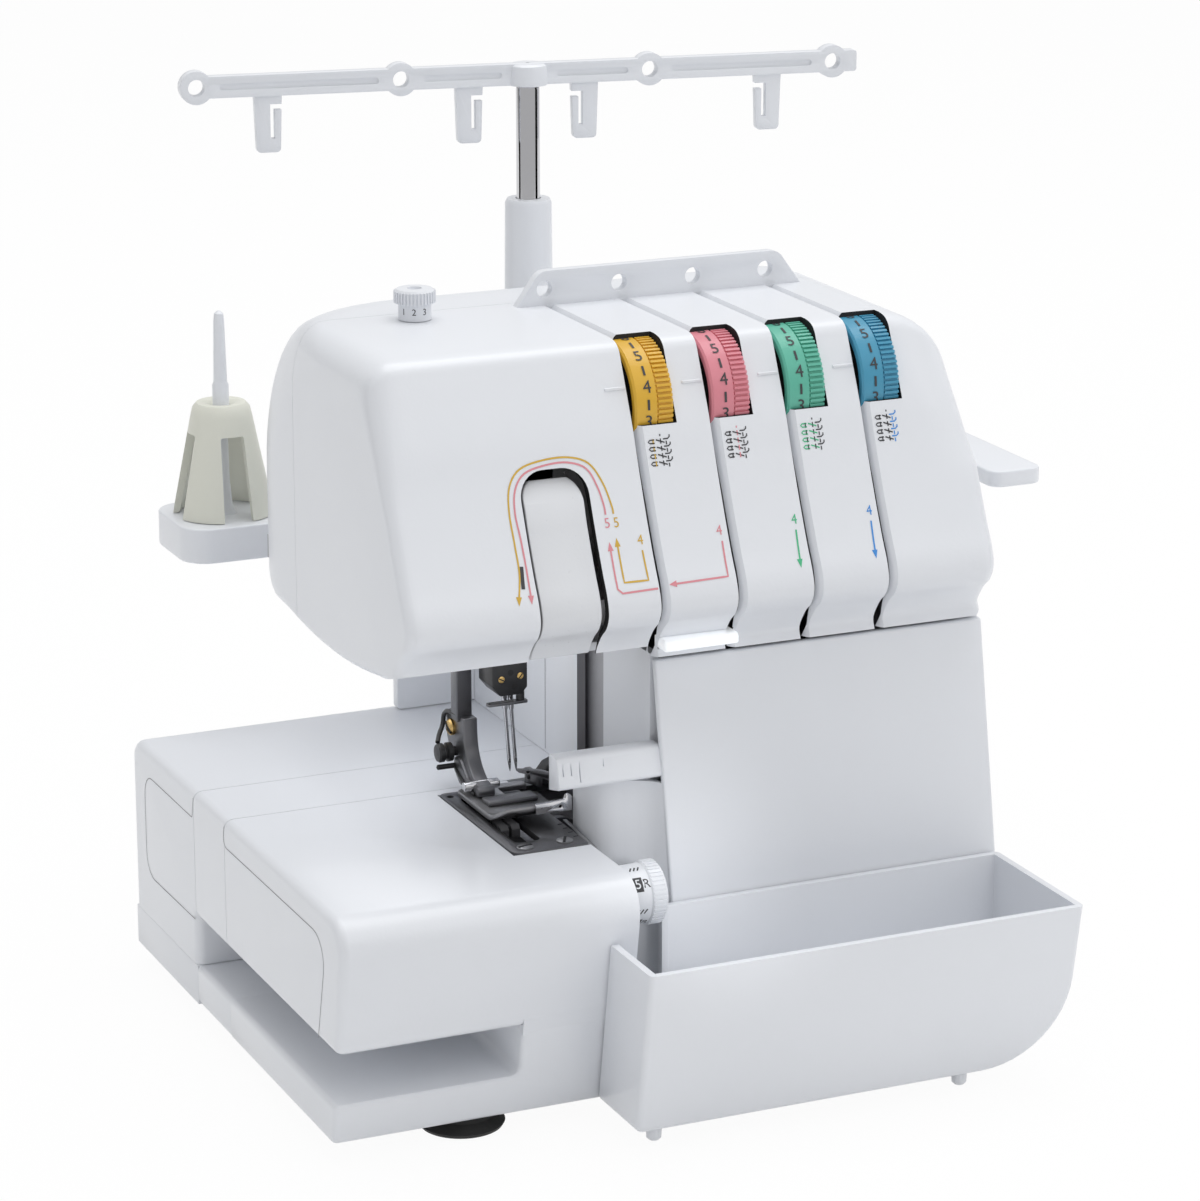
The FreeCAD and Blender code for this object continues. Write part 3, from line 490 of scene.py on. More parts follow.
class Ribs:
    """A Geometry Nodes tree that sets equal ribs round a rim."""

    @staticmethod
    def tree() -> bpy.types.NodeTree:
        """The tree, with its count, radius, rib size and finish as inputs."""
        found = bpy.data.node_groups.get("rib_ring")
        if found:
            return found
        tree = bpy.data.node_groups.new("rib_ring", "GeometryNodeTree")
        face = tree.interface
        for name, kind in (("Count", "NodeSocketInt"), ("Radius", "NodeSocketFloat"),
                           ("Rib", "NodeSocketVector"), ("Finish", "NodeSocketMaterial")):
            face.new_socket(name, in_out="INPUT", socket_type=kind)
        face.new_socket("Ribs", in_out="OUTPUT", socket_type="NodeSocketGeometry")
        add, link = tree.nodes.new, tree.links.new
        given, result = add("NodeGroupInput"), add("NodeGroupOutput")
        ring, rib, place = add("GeometryNodeMeshCircle"), add("GeometryNodeMeshCube"), add("GeometryNodeInputPosition")
        turn, set_on = add("FunctionNodeAlignRotationToVector"), add("GeometryNodeInstanceOnPoints")
        real, paint = add("GeometryNodeRealizeInstances"), add("GeometryNodeSetMaterial")
        turn.axis = "X"
        turn.pivot_axis = "Z"
        link(given.outputs["Count"], ring.inputs["Vertices"])
        link(given.outputs["Radius"], ring.inputs["Radius"])
        link(given.outputs["Rib"], rib.inputs["Size"])
        link(place.outputs[0], turn.inputs["Vector"])
        link(ring.outputs["Mesh"], set_on.inputs["Points"])
        link(rib.outputs["Mesh"], set_on.inputs["Instance"])
        link(turn.outputs["Rotation"], set_on.inputs["Rotation"])
        link(set_on.outputs["Instances"], real.inputs[0])
        link(real.outputs[0], paint.inputs["Geometry"])
        link(given.outputs["Finish"], paint.inputs["Material"])
        link(paint.outputs[0], result.inputs[0])
        return tree

    @classmethod
    def ring(cls, name: str, axis: Axis, centre: Point, radius: float, low: float, high: float, count: int,
             depth: float, finish: Finish, share: float) -> bpy.types.Object:
        """Ribs along an axis on a round rim.

        Args:
            name: the piece's name.
            axis: the rim's axis.
            centre: its place on the other two axes.
            radius: the rim's radius, at the middle of the ribs' depth.
            low: where the ribs start along the axis.
            high: where they end.
            count: ribs in the full round.
            depth: radial depth of a rib.
            finish: their finish.
            share: the part of the pitch that a rib fills.

        Returns:
            The ribs as one plain mesh.
        """
        made = Bench.show(name, bpy.data.meshes.new(name))
        step = made.modifiers.new("ribs", "NODES")
        step.node_group = cls.tree()
        across = 2 * math.pi * radius / count * share
        values = {"Count": count, "Radius": radius * MM, "Finish": finish.material(),
                  "Rib": (depth * MM, across * MM, (high - low) * MM)}
        for item in step.node_group.interface.items_tree:
            if item.in_out == "INPUT":
                step[item.identifier] = values[item.name]
        Bench.freeze(made)
        middle = (low + high) / 2
        for vertex in made.data.vertices:
            u, v, w = vertex.co / MM
            vertex.co = Vector(axis.spot(centre[0] + u, centre[1] + v, middle + w)) * MM
        made.data.update()
        Bench.agree(made.data)
        return made


def arc_inset(distance: float, radius: float) -> float:
    """How far a rounded edge has drawn in at a distance from the end face."""
    if distance >= radius:
        return 0.0
    return radius - math.sqrt(max(0.0, radius ** 2 - (radius - distance) ** 2))


@dataclass
class Head:
    """The head: two white shells, its five front panels with thread slots, the dial windows and the prints."""

    left: float = -134.6
    right: float = 72.2
    back: float = 88.0
    top: float = 239.0
    bottom: float = 141.0
    wall: float = 3.0
    split: float = 20.0
    slots: tuple[float, ...] = SLOTS
    slot_width: float = 2.0
    window: Spot = (0.3, 15.3, 213.6)
    window_back: float = -37.5
    recess: Spot = (-90.4, -68.2, 204.0)
    pivot: Point = (30.0, 137.0)
    belly: float = 4.2
    shoulder: float = 190.0
    bend: float = 52.0
    heel: float = 8.0
    left_radii: tuple[float, ...] = (4, 11, 50, 3)
    right_radii: tuple[float, ...] = (5, 27, 22, 3)
    lens: tuple[float, float] = (-45.3, -19.7)
    guide: tuple[float, float] = (12.2, 15.8)
    figure_size: float = 4.2
    diagram: float = 205.4
    ridge: float = 225.2
    chin: tuple[Point, ...] = ((-48, 139.2), (-51, 140), (-60, 141.9), (-66, 143.6), (-71, 145), (-95, 146.5))
    face: tuple[Point, ...] = ((-71, 141), (-70, 145), (-74, 151), (-78.3, 155), (-80.2, 160), (-78.6, 166),
                               (-74.8, 173.4), (-68.7, 186.8), (-62.5, 201.8), (-57.8, 213.9), (-51.6, 227.4),
                               (-48.9, 233.2), (-47.2, 236.4), (-44.5, 238.3), (-40.5, 239))
    line: list[Point] = field(default_factory=list)

    def __post_init__(self) -> None:
        """Draw the front face's curve."""
        self.line = Draw.smooth_line(self.face, 4)

    def face_y(self, height: float) -> float:
        """The front face's place at a height."""
        for (y0, z0), (y1, z1) in zip(self.line, self.line[1:]):
            if z0 <= height <= z1:
                return y0 + (y1 - y0) * (height - z0) / max(1e-6, z1 - z0)
        return self.line[-1][0]

    def lay(self, x: float, z: float) -> Spot:
        """A print's point on the front face."""
        return (x, self.face_y(z) - 2 * PRINT_LIFT, z)

    def section(self, front: float, top: float, back: float, bottom: float, belly: float) -> list[Point]:
        """One cross-section: the front curve, the flat top, the rounded back and the bulging bottom edge."""
        drop, bend, heel = self.top - top, self.bend, self.heel
        ring = []
        for y, z in self.line:
            share = min(1.0, max(0.0, (z - self.shoulder) / (self.top - self.shoulder)))
            lift = max(0.0, 1 - (z - self.bottom) / 12) * (bottom - self.bottom)
            ring.append((y + front + drop * 0.25 * share, z - drop * share + lift))
        ring += Draw.arc((back - bend, top - bend), bend, math.pi / 2, 0, 16)
        ring += Draw.arc((back - heel, bottom + heel), heel, 0, -math.pi / 2, 4)
        middle, reach = -12, 46
        ring += [(y, bottom - belly * (1 - ((y - middle) / reach) ** 2)) for y in range(28, -53, -8)]
        return ring

    def loft(self, name: str, inset: float, finish: Finish) -> bpy.types.Object:
        """The head's outer form, or its inside when inset, lofted from end to end with rounded ends."""
        ends = (self.left + (9 if inset else 0), self.right - (9 if inset else 0))
        spread = (0, 0.15, 0.6, 1.3, 2.3, 3.5, 5, 6.5, 8, 10, 12.5, 16, 20, 25, 32, 40, 48, 56)
        bottom = self.bottom - (12 if inset else 0)
        rings: list[list[Spot]] = []
        for side, end, radii in ((1, ends[0], self.left_radii), (-1, ends[1], self.right_radii)):
            rows = []
            for gap in spread:
                front, top, back, base = (arc_inset(gap, max(1.0, r - inset)) for r in radii)
                rows.append([(end + side * gap, y, z) for y, z in self.section(
                    front + inset, self.top - inset - top, self.back - inset - back,
                    bottom + (0 if inset else base), self.belly if side > 0 else 0)])
            rings += rows if side > 0 else rows[::-1]
        return Bench.loft(name, rings, finish)

    def groove(self, slot: float) -> bpy.types.Object:
        """A cutter that follows the face and opens one thread slot with a rounded right shoulder."""
        path = [*self.line] + [(-12, self.top), (12, self.top)]
        path = [(path[0][0] - 1, path[0][1] - 8)] + path
        wide = self.slot_width
        shape = ((-0.4, 1.0), (0, -0.5), (0, -5), (wide * 0.4, -5), (wide, -1.8), (wide + 0.5, -0.8),
                 (wide + 1.2, -0.12), (wide + 2.0, 1.0))
        rings = []
        for i, (y, z) in enumerate(path):
            ahead, behind = path[min(i + 1, len(path) - 1)], path[max(i - 1, 0)]
            run = Vector((ahead[0] - behind[0], ahead[1] - behind[1])).normalized()
            out = Vector((-run.y, run.x))
            rings.append([(slot + dx, y + out.x * dn, z + out.y * dn) for dx, dn in shape])
        made = Bench.loft(f"slot_cutter_{slot:.0f}", rings, WHITE)
        made.data.materials.append(SHADE.material())
        ends, bottom = 2, 2
        for face in list(made.data.polygons)[ends:]:
            face.material_index = 1 if (face.index - ends) % len(shape) == bottom else 0
        return made

    def build(self) -> None:
        """Make the two shells."""
        shell = self.loft("head_shell", 0, WHITE)
        cutters = [self.loft("head_inside", self.wall, SHADE)]
        for slot in self.slots:
            cutters.append(self.groove(slot))
            low, high, sill = slot + self.window[0], slot + self.window[1], self.window[2]
            cutters.append(Bench.block("window", (low, -76, sill), (high, self.window_back, 246), SHADE))
        left, right, top = self.recess
        arch = Draw.rounded([(left, 120, 0), (right + 1.0, 120, 0), (right + 1.0, top, 8.5), (left, top, 8.5)], 8)
        cutters.append(Bench.prism("recess", arch, Axis.Y, -100, -58, SHADE))
        cutters.append(Bench.block("lens_notch", (self.lens[0] - 0.4, -90, 143.2), (self.lens[1] + 0.4, -66, 147.7),
                                   WHITE))
        under = [*self.chin, (-95, 120), (-48, 120)]
        cutters.append(Bench.prism("chin_cut", under, Axis.X, -140, -49.1, WHITE))
        cutters.append(Bench.turned("knob_hole", Axis.Z, KNOB, [(3, 230), (3, 242)], SHADE, 32))
        Bench.carve(shell, *cutters)
        for name, node, side in (("head_front", "head_front_cover", 1), ("head_rear", "head_rear_cover", -1)):
            half = Bench.part(shell, name, [((0, self.split - 0.1 * side, 0), (0, side, 0))], 28)
            Bench.fit(half, "machine", WHITE, node)
        bpy.data.objects.remove(shell)

    def trim(self) -> None:
        """Make the take-up cover, the lamp, the guide plate and the plate that closes the head from below."""
        left, right, _ = self.recess
        skin = [(y + 0.6, z) for y, z in self.line if 144.6 <= z <= 190]
        outline = skin + [(-65.6, 194), (-60, 200.5), (-57.5, 199.8), (-62, 193)]
        outline += [(y + 3.2, z) for y, z in reversed(skin)]
        edges = (left + 0.9, right - 1.1)
        cover = Bench.prism("take_up_cover_shell", outline, Axis.X, *edges, SILVER)
        corners = []
        for edge, side in zip(edges, (1, -1)):
            turn, crown, clear = 6.5, 194.5, 206
            arc = Draw.arc((edge + side * turn, crown), turn, math.pi / 2, math.pi / 2 * (1 + side), 8)
            shape = [*arc, (edge - side * 2, crown), (edge - side * 2, clear), (edge + side * turn, clear)]
            corners.append(Bench.prism("corner", shape, Axis.Y, -90, -50, SILVER))
        Bench.carve(cover, *corners)
        Bench.fit(Bench.soften(cover, 1.6, 3, 50), "machine", SILVER, "take_up_cover")
        lens = Draw.rounded([(-75.6, 143.5, 1.2), (-66.4, 143.5, 0.5), (-66.4, 147.4, 0.5), (-75.6, 147.4, 1.6)], 4)
        lamp = Bench.prism("lamp_strip", lens, Axis.X, *self.lens, CLEAR)
        Bench.fit(Bench.soften(lamp, 0.5, 2, 60), "machine", CLEAR, "lamp_lens")
        plate = Draw.rounded([(-58.7, 239, 0), (44.8, 239, 0), (36.5, 250.5, 5), (-50.5, 250.5, 5)])
        guide = Bench.prism("guide_plate", plate, Axis.Y, *self.guide, WHITE)
        holes = [Bench.turned("eye", Axis.Y, (slot, 244.5), [(2.8, 8), (2.8, 20)], WHITE, 32) for slot in self.slots]
        Bench.carve(guide, *holes)
        Bench.fit(Bench.soften(guide, 0.7, 3, 35), "machine", WHITE, "thread_guide_plate")
        self._base_plate()

    def _base_plate(self) -> None:
        """The plate that closes the head from below, with the lugs and pin of the lifter lever."""
        edge, (y, z) = self.left + 3.4, self.pivot
        plan = Draw.rounded([(edge, -56.4, 6), (-47.5, -56.4, 1), (-47.5, 84.6, 1), (edge, 84.6, 48)], 10)
        plate = Bench.prism("plate", plan, Axis.Z, self.bottom + 0.2, self.bottom + 3, WHITE)
        holes = [Bench.turned("hole", Axis.Z, spot, [(r, self.bottom - 5), (r, self.bottom + 9)], WHITE, 40)
                 for spot, r in ((NeedleWorks.needle, 10), (NeedleWorks.presser, 5))]
        parts = [Bench.soften(Bench.carve(plate, *holes), 0.4)]
        for low in (-97, -80):
            lug = Draw.rounded([(y - 3, z - 2.5, 2.4), (y + 3, z - 2.5, 2.4), (y + 3, z + 5, 0), (y - 3, z + 5, 0)], 6)
            parts.append(Bench.soften(Bench.prism("lug", lug, Axis.X, low, low + 3, WHITE), 0.3))
        parts.append(Bench.turned("pivot", Axis.X, self.pivot, [(2, -97), (2, -77)], STEEL, 32))
        Bench.assemble("head_underside", parts, "machine", WHITE, "head_base_plate")

    def prints(self) -> None:
        """Lay the coloured thread paths, their figures and the stitch diagrams on the panels."""
        marks: list[bpy.types.Object] = []
        ridges: list[bpy.types.Object] = []

        def path(points: Sequence[Point], finish: Finish, width: float = 0.58) -> None:
            """Print a line of thread."""
            marks.append(Draw.stroke("thread_path", points, width, self.lay, finish))

        def figure(text: str, at: Point, finish: Finish) -> None:
            """Print the number of a step."""
            marks.append(Draw.text(text, self.figure_size, at, self.lay, finish))

        def arrow(at: Point, heading: Point, finish: Finish) -> None:
            """Print the arrow at the end of a line."""
            length, half_width = 2.6, 0.38
            run = Vector(heading).normalized() * length
            side = Vector((-run.y, run.x)) * half_width
            tip, foot = Vector(at), Vector(at) - run
            spots = [self.lay(*p) for p in (tip, foot + side, foot - side)]
            marks.append(Bench.piece("arrow", spots, [(0, 1, 2)], finish))

        bend = [(-96.8, 167.5), (-95.0, 174.8), (-94.9, 183.4), (-95.0, 193.0), (-93.6, 200.2), (-89.4, 204.9),
                (-81.5, 206.8), (-72.7, 206.9), (-66.0, 204.5), (-62.2, 198.4), (-60.4, 191.6), (-60.2, 189)]
        path(Draw.smooth_line(bend), YELLOW_INK)
        inner = [(-92.6, 167.5), (-92.4, 175.9), (-92.6, 184.6), (-93.1, 192.4), (-91.9, 199.0), (-88.0, 203.5),
                 (-80.5, 205.3), (-73.1, 205.4), (-67.0, 203.0), (-64.2, 197.4), (-63.0, 191.9), (-62.9, 189)]
        path(Draw.smooth_line(inner), PINK_INK)
        arrow((-97.0, 166), (-0.15, -1), YELLOW_INK)
        arrow((-92.7, 166), (-0.05, -1), PINK_INK)
        path([(-93.9, 177.0), (-94.6, 170.6)], INK, 1.2)
        figure("5", (-62.8, 186.4), PINK_INK)
        figure("5", (-59.7, 186.3), YELLOW_INK)
        figure("4", (-52.6, 180.5), YELLOW_INK)
        path([(-52.5, 177.6), (-52.3, 168.9), (-60.6, 169.0), (-60.6, 180)], YELLOW_INK)
        arrow((-60.6, 182), (0, 1), YELLOW_INK)
        path([(-49.6, 166.2), (-61.8, 166.0), (-63.3, 167.4), (-63.2, 179)], PINK_INK)
        arrow((-63.2, 181), (0, 1), PINK_INK)
        figure("4", (-25.1, 180.6), PINK_INK)
        path([(-24.7, 177.5), (-25.0, 167.2), (-43.5, 166.9)], PINK_INK)
        arrow((-45.6, 166.9), (-1, 0), PINK_INK)
        for x, finish in ((1.6, GREEN_INK), (28.6, BLUE_INK)):
            figure("4", (x, 181.2), finish)
            path([(x, 178.2), (x - 0.6, 169)], finish)
            arrow((x - 0.7, 167), (0, -1), finish)
        for number, (slot, finish) in enumerate(zip(self.slots, (YELLOW_INK, PINK_INK, GREEN_INK, BLUE_INK))):
            self._stitch(marks, slot + 8.4, self.diagram, number, finish)
            ridges.append(self._ridge(slot))
        Bench.assemble("thread_path_prints", marks, "machine", INK)
        Bench.assemble("index_ridges", ridges, "machine", WHITE)

    def _ridge(self, slot: float) -> bpy.types.Object:
        """The fine raised line that a dial's figure is read against."""
        z = self.ridge
        y = self.face_y(z)
        return Bench.block("ridge", (slot - 7.6, y - 0.55, z - 0.5), (slot - 0.5, y + 0.6, z + 0.5), WHITE, 0.25)

    def _stitch(self, marks: list[bpy.types.Object], x: float, z: float, chosen: int, finish: Finish) -> None:
        """A small lattice of four threads, with one in colour."""
        threads: list[list[list[Point]]] = [[], [], [], []]
        for row in (-3.3, -1.1, 1.1, 3.3):
            threads[0].append([(-2.3, row - 0.75), (-2.3, row + 0.75)])
            threads[1].append([(0.3, row - 0.75), (0.3, row + 0.75)])
            threads[2].append([(-1.8, row - 0.5), (-3.4, row - 0.5), (-4.0, row), (-3.4, row + 0.5), (-1.8, row + 0.5)])
            threads[2].append([(-1.3, row + 0.5), (1.6, row - 0.5)])
            threads[3].append([(1.2, row + 0.55), (2.8, row + 0.55), (3.5, row + 1.1), (3.5, row + 1.7)])
            threads[3].append([(2.2, row - 1.2), (2.2, row - 0.1)])
        threads[1].append([(0.3, 4.8), (0.3, 5.4)])
        for number, lines in enumerate(threads):
            for points in lines:
                spots = [(x + u, z + v) for u, v in points]
                marks.append(Draw.stroke("stitch_line", spots, 0.4, self.lay, finish if number == chosen else INK))


@dataclass
class TensionDials:
    """Four numbered dials with a knurled band, each in its own colour."""

    slots: tuple[float, ...] = SLOTS
    y: float = -37.0
    z: float = 217.5
    radius: float = 20.5
    width: float = 12.7
    shift: float = 2.3
    lip: float = 0.9

    def build(self) -> None:
        """Make each dial."""
        for number, (slot, finish) in enumerate(zip(self.slots, (YELLOW, PINK, GREEN, BLUE)), start=1):
            self._dial(number, slot + self.shift, finish)

    def _dial(self, number: int, low: float, finish: Finish) -> None:
        """One dial: a chamfered figure band, a knurled band and a near-black disc on its recessed side that is painted
        shade.
        """
        top, band, end = self.radius, low + 6.6, low + self.width
        # painted shade: a near-black disc on the dial's recessed side face
        hub = [(3.1, low + 0.4), (top - 3.5, low + 0.4), (top - 3.5, low + 2), (3.1, low + 2)]
        side = Bench.turned("dial_side_painted_shade", Axis.X, (self.y, self.z), hub, SHADE, 96)
        edge = low - self.lip
        profile = [(3.1, low + 0.6), (top - 3.4, low + 0.6), (top - 3.2, edge), (top - 1.3, edge),
                   (top - 0.6, edge + 0.6), (top - 0.4, band), (top - 0.9, band + 0.3), (top - 0.9, end - 0.8),
                   (top - 1.8, end), (3.1, end)]
        wheel = Bench.turned("dial", Axis.X, (self.y, self.z), profile, finish, 120)
        knurl = Ribs.ring("knurl", Axis.X, (self.y, self.z), top - 0.7, band + 0.4, end - 0.6, 76, 0.9, finish, 0.5)
        marks = [side]

        def lay(u: float, v: float) -> Spot:
            """A print's point on the figure band."""
            reach, angle = top - 0.3, v / top
            return (u, self.y - reach * math.cos(angle), self.z + reach * math.sin(angle))

        step, start = math.radians(32) * top, math.radians(23) * top
        for figure in range(10):
            height, middle = start + step * (figure - 4), low + 3.7
            marks.append(Draw.text(str(figure), 6.0, (middle, height), lay, INK))
            if figure < 9:
                tick = [(middle, height + step / 2 - 1.7), (middle, height + step / 2 + 1.7)]
                marks.append(Draw.stroke("tick", tick, 0.8, lay, INK))
        node = f"tension_dial_{number}"
        Bench.assemble(f"tension_wheel_{number}", [wheel, knurl, *marks], node, finish, node)


@dataclass
class Bed:
    """The bed: slide-off table, free-arm strip and rear cover as one form cut apart, on the base pan and its feet."""

    left: float = -169.92
    table_right: float = -70.6
    right: float = -43.4
    top: float = 82.5
    front: float = -113.5
    back: float = 93.0
    arm: tuple[float, float] = (-4.0, 27.0)
    gap_low: float = 21.0
    gap_top: float = 38.0
    gap_right: float = -108.0
    lean: float = 0.17
    wall: float = 3.0

    def build(self) -> None:
        """Make the covers, the pan and the feet."""
        self._covers()
        self._pan()
        self._feet()
        self._seams()

    def front_at(self, height: float) -> float:
        """Where the leaning front is at a height."""
        return self.front + (self.top - height) * self.lean

    def _form(self, inset: float, finish: Finish) -> bpy.types.Object:
        """The bed's outer form, or its inside."""
        low = self.gap_low - (5 if inset else 4)
        step = self.gap_top + (2 if inset else 0)
        lean, end = self.front_at(step) + inset, self.arm[1] + 0.3 + inset
        outline = Draw.rounded([(end, low, 0), (end, step, 0), (lean, step, 0),
                                (self.front + inset, self.top - inset, max(2.0, 11 - inset)),
                                (self.back - inset, self.top - inset, max(1.0, 7 - inset)),
                                (self.back - inset, low, 0)], 8)
        made = Bench.prism("bed_form", outline, Axis.X, self.left + inset, self.right + (2 if inset else 0), finish)
        return made if inset else Bench.soften(made, 3.2, 4, 50)

    def _covers(self) -> None:
        """Cut the form into the table, the strip and the rear cover."""
        form = Bench.carve(self._form(0, WHITE), self._form(self.wall, WHITE),
                           Bench.block("plate_seat", (-97.3, -73.7, 70), (-40, -8.9, 90), WHITE))
        (start, end), gap = self.arm, 0.15
        ahead, behind = (0, 1, 0), (0, -1, 0)
        table = [((0, start - gap, 0), ahead), ((self.table_right, 0, 0), (1, 0, 0))]
        strip = [((0, end - gap, 0), ahead), ((0, start + gap, 0), behind)]
        rear = [((0, end + gap, 0), behind), ((0, 0, self.gap_low), (0, 0, -1))]
        Bench.fit(Bench.part(form, "table_shell", table, 30), "extension_table", WHITE, "extension_table")
        Bench.fit(Bench.part(form, "arm_strip", strip, 30), "machine", WHITE, "free_arm_cover")
        Bench.fit(Bench.part(form, "rear_bed_shell", rear, 30), "machine", WHITE, "bed_rear_cover")
        bpy.data.objects.remove(form)

    def _pan(self) -> None:
        """The base pan, with the low front under the table and the closed corner at the end of the gap."""
        left, right = self.left + 0.05, self.table_right - 0.1
        sill, top = self.gap_low - 0.1, self.gap_top - 0.12
        shape = Draw.rounded([(left, 7, 0), (right, 7, 0), (right, top, 0), (self.gap_right, top, 0),
                              (self.gap_right, sill, 3), (left, sill, 0)], 6)
        front = Bench.prism("pan_front", shape, Axis.Y, self.front, self.arm[0], WHITE)
        for vertex in front.data.vertices:
            if vertex.co.y < (self.front + 1) * MM:
                vertex.co.y = self.front_at(vertex.co.z / MM) * MM
        Bench.soften(front, 2.0, 3)
        middle = Bench.block("pan_middle", (left + 0.12, -20, 7.1), (right - 0.12, 36, sill - 0.05), WHITE, 2.0)
        rear = Bench.block("pan_rear", (left + 0.02, self.arm[1] + 0.5, 7.02), (right - 0.02, 92.9, sill), WHITE, 0.3)
        low, high, round_off = 35, 41.3, 3.35
        y = self.front_at(high) + round_off
        edge = [(self.front_at(z) + 0.03, z) for z in (low, high)]
        edge += Draw.arc((y, high), round_off, math.pi, math.pi * 1.5, 6)
        fill = Bench.prism("pan_fill", [*edge, (y, low)], Axis.X, self.gap_right + 0.1, right - 2.4, WHITE)
        floor = Bench.block("pan_right", (self.table_right - 2, -79.8, 7.0), (72.2, 92.9, self.gap_low), WHITE, 2.0)
        Bench.assemble("base_tray", [front, middle, rear, fill, floor], "machine", WHITE, "base_pan")

    def _feet(self) -> None:
        """Four moulded rubber feet with a flared sole."""
        profile = [(0.5, 0.3), (9.6, 0.3), (11.2, 0.0), (13.2, 0.6), (13.9, 1.8), (12.0, 3.0), (10.6, 4.2),
                   (10.8, 6.4), (11.5, 7.1), (0.5, 7.1)]
        feet = [Bench.turned("foot", Axis.Z, spot, profile, RUBBER, 48)
                for spot in ((-121, -86), (-121, 70), (45, -60), (45, 70))]
        Bench.assemble("suction_feet", feet, "machine", RUBBER, "rubber_feet")

    def _seams(self) -> None:
        """Fine parting lines on the left end of the arm and its rear cover."""
        def lay(y: float, z: float) -> Spot:
            """A line's point on the bed's left end."""
            return (self.left - PRINT_LIFT, y, z)

        line = Draw.rounded([(26.9, 80.5, 0), (28.5, 73.2, 1), (79.5, 73.2, 8), (79.5, 36.6, 8), (28, 37.4, 0)], 6)
        rear = Draw.stroke("rear_line", line, 0.36, lay, SEAM_AND_SHADE)
        Bench.assemble("rear_parting_line", [rear], "machine", SEAM_AND_SHADE)
        line = Draw.rounded([(-4.2, 80.5, 0), (-2.6, 73.6, 3), (-98.5, 73.8, 9), (-90, 39, 0)], 6)
        front = Draw.stroke("front_line", line, 0.36, lay, SEAM_AND_SHADE)
        Bench.assemble("table_parting_line", [front], "extension_table", SEAM_AND_SHADE)


@dataclass
class TrimBin:
    """The trim bin: a thin-walled tray with a leaning front and a large rounded lower right corner."""

    left: float = -80.4
    right: float = 72.2
    front: float = -141.0
    back: float = -84.0
    rim: float = 62.8
    floor: float = 6.8
    wall: float = 2.4
    lean: float = 10.0
    notch: float = -51.5
    bed: Bed = field(default_factory=Bed)

    def _form(self, inset: float) -> bpy.types.Object:
        """The outer form or the inside."""
        top = self.rim + 8
        outline = Draw.rounded([(self.left + inset, self.floor + inset, 2.5),
                                (self.right - inset, self.floor + inset, 30 - inset),
                                (self.right - inset, top, 0), (self.left + inset, top, 0)], 12)
        made = Bench.prism("bin_form", outline, Axis.Y, self.front + inset, self.back - inset, WHITE)
        for vertex in made.data.vertices:
            if vertex.co.y < (self.front + 11) * MM:
                vertex.co.y += self.lean * MM * (self.rim * MM - vertex.co.z) / ((self.rim - self.floor) * MM)
        if not inset:
            Bench.soften(made, 2.0, 4)
        edge = [(self.bed.front_at(z) - 0.9 - inset, z) for z in (90, -5)] + [(40, -5), (40, 90)]
        cuts = [Bench.prism("bin_notch", edge, Axis.X, self.left - 5, self.notch + inset, WHITE)]
        if not inset:
            cuts.append(Bench.block("bin_mouth", (self.left - 5, self.front - 9, self.rim),
                                    (self.right + 5, self.back + 9, self.rim + 20), WHITE))
        return Bench.carve(made, *cuts)

    def build(self) -> None:
        """Make the bin and its two pegs."""
        tray = Bench.carve(self._form(0), self._form(self.wall))
        Bench.carve(tray, Bench.block("low_corner", (self.left + self.wall + 0.3, -124, 38),
                                      (self.notch + self.wall + 0.4, self.back - self.wall - 0.2, 80), WHITE))
        Bench.soften(tray, 0.7, 3)
        pegs = [Bench.turned("peg", Axis.Z, (x, -126), [(1.6, 2.2), (2.4, 3.0), (2.6, 7.6)], WHITE, 24)
                for x in (self.left + 8, self.right - 36)]
        Bench.assemble("trim_tray", [tray, *pegs], "trim_bin", WHITE, "trim_bin")


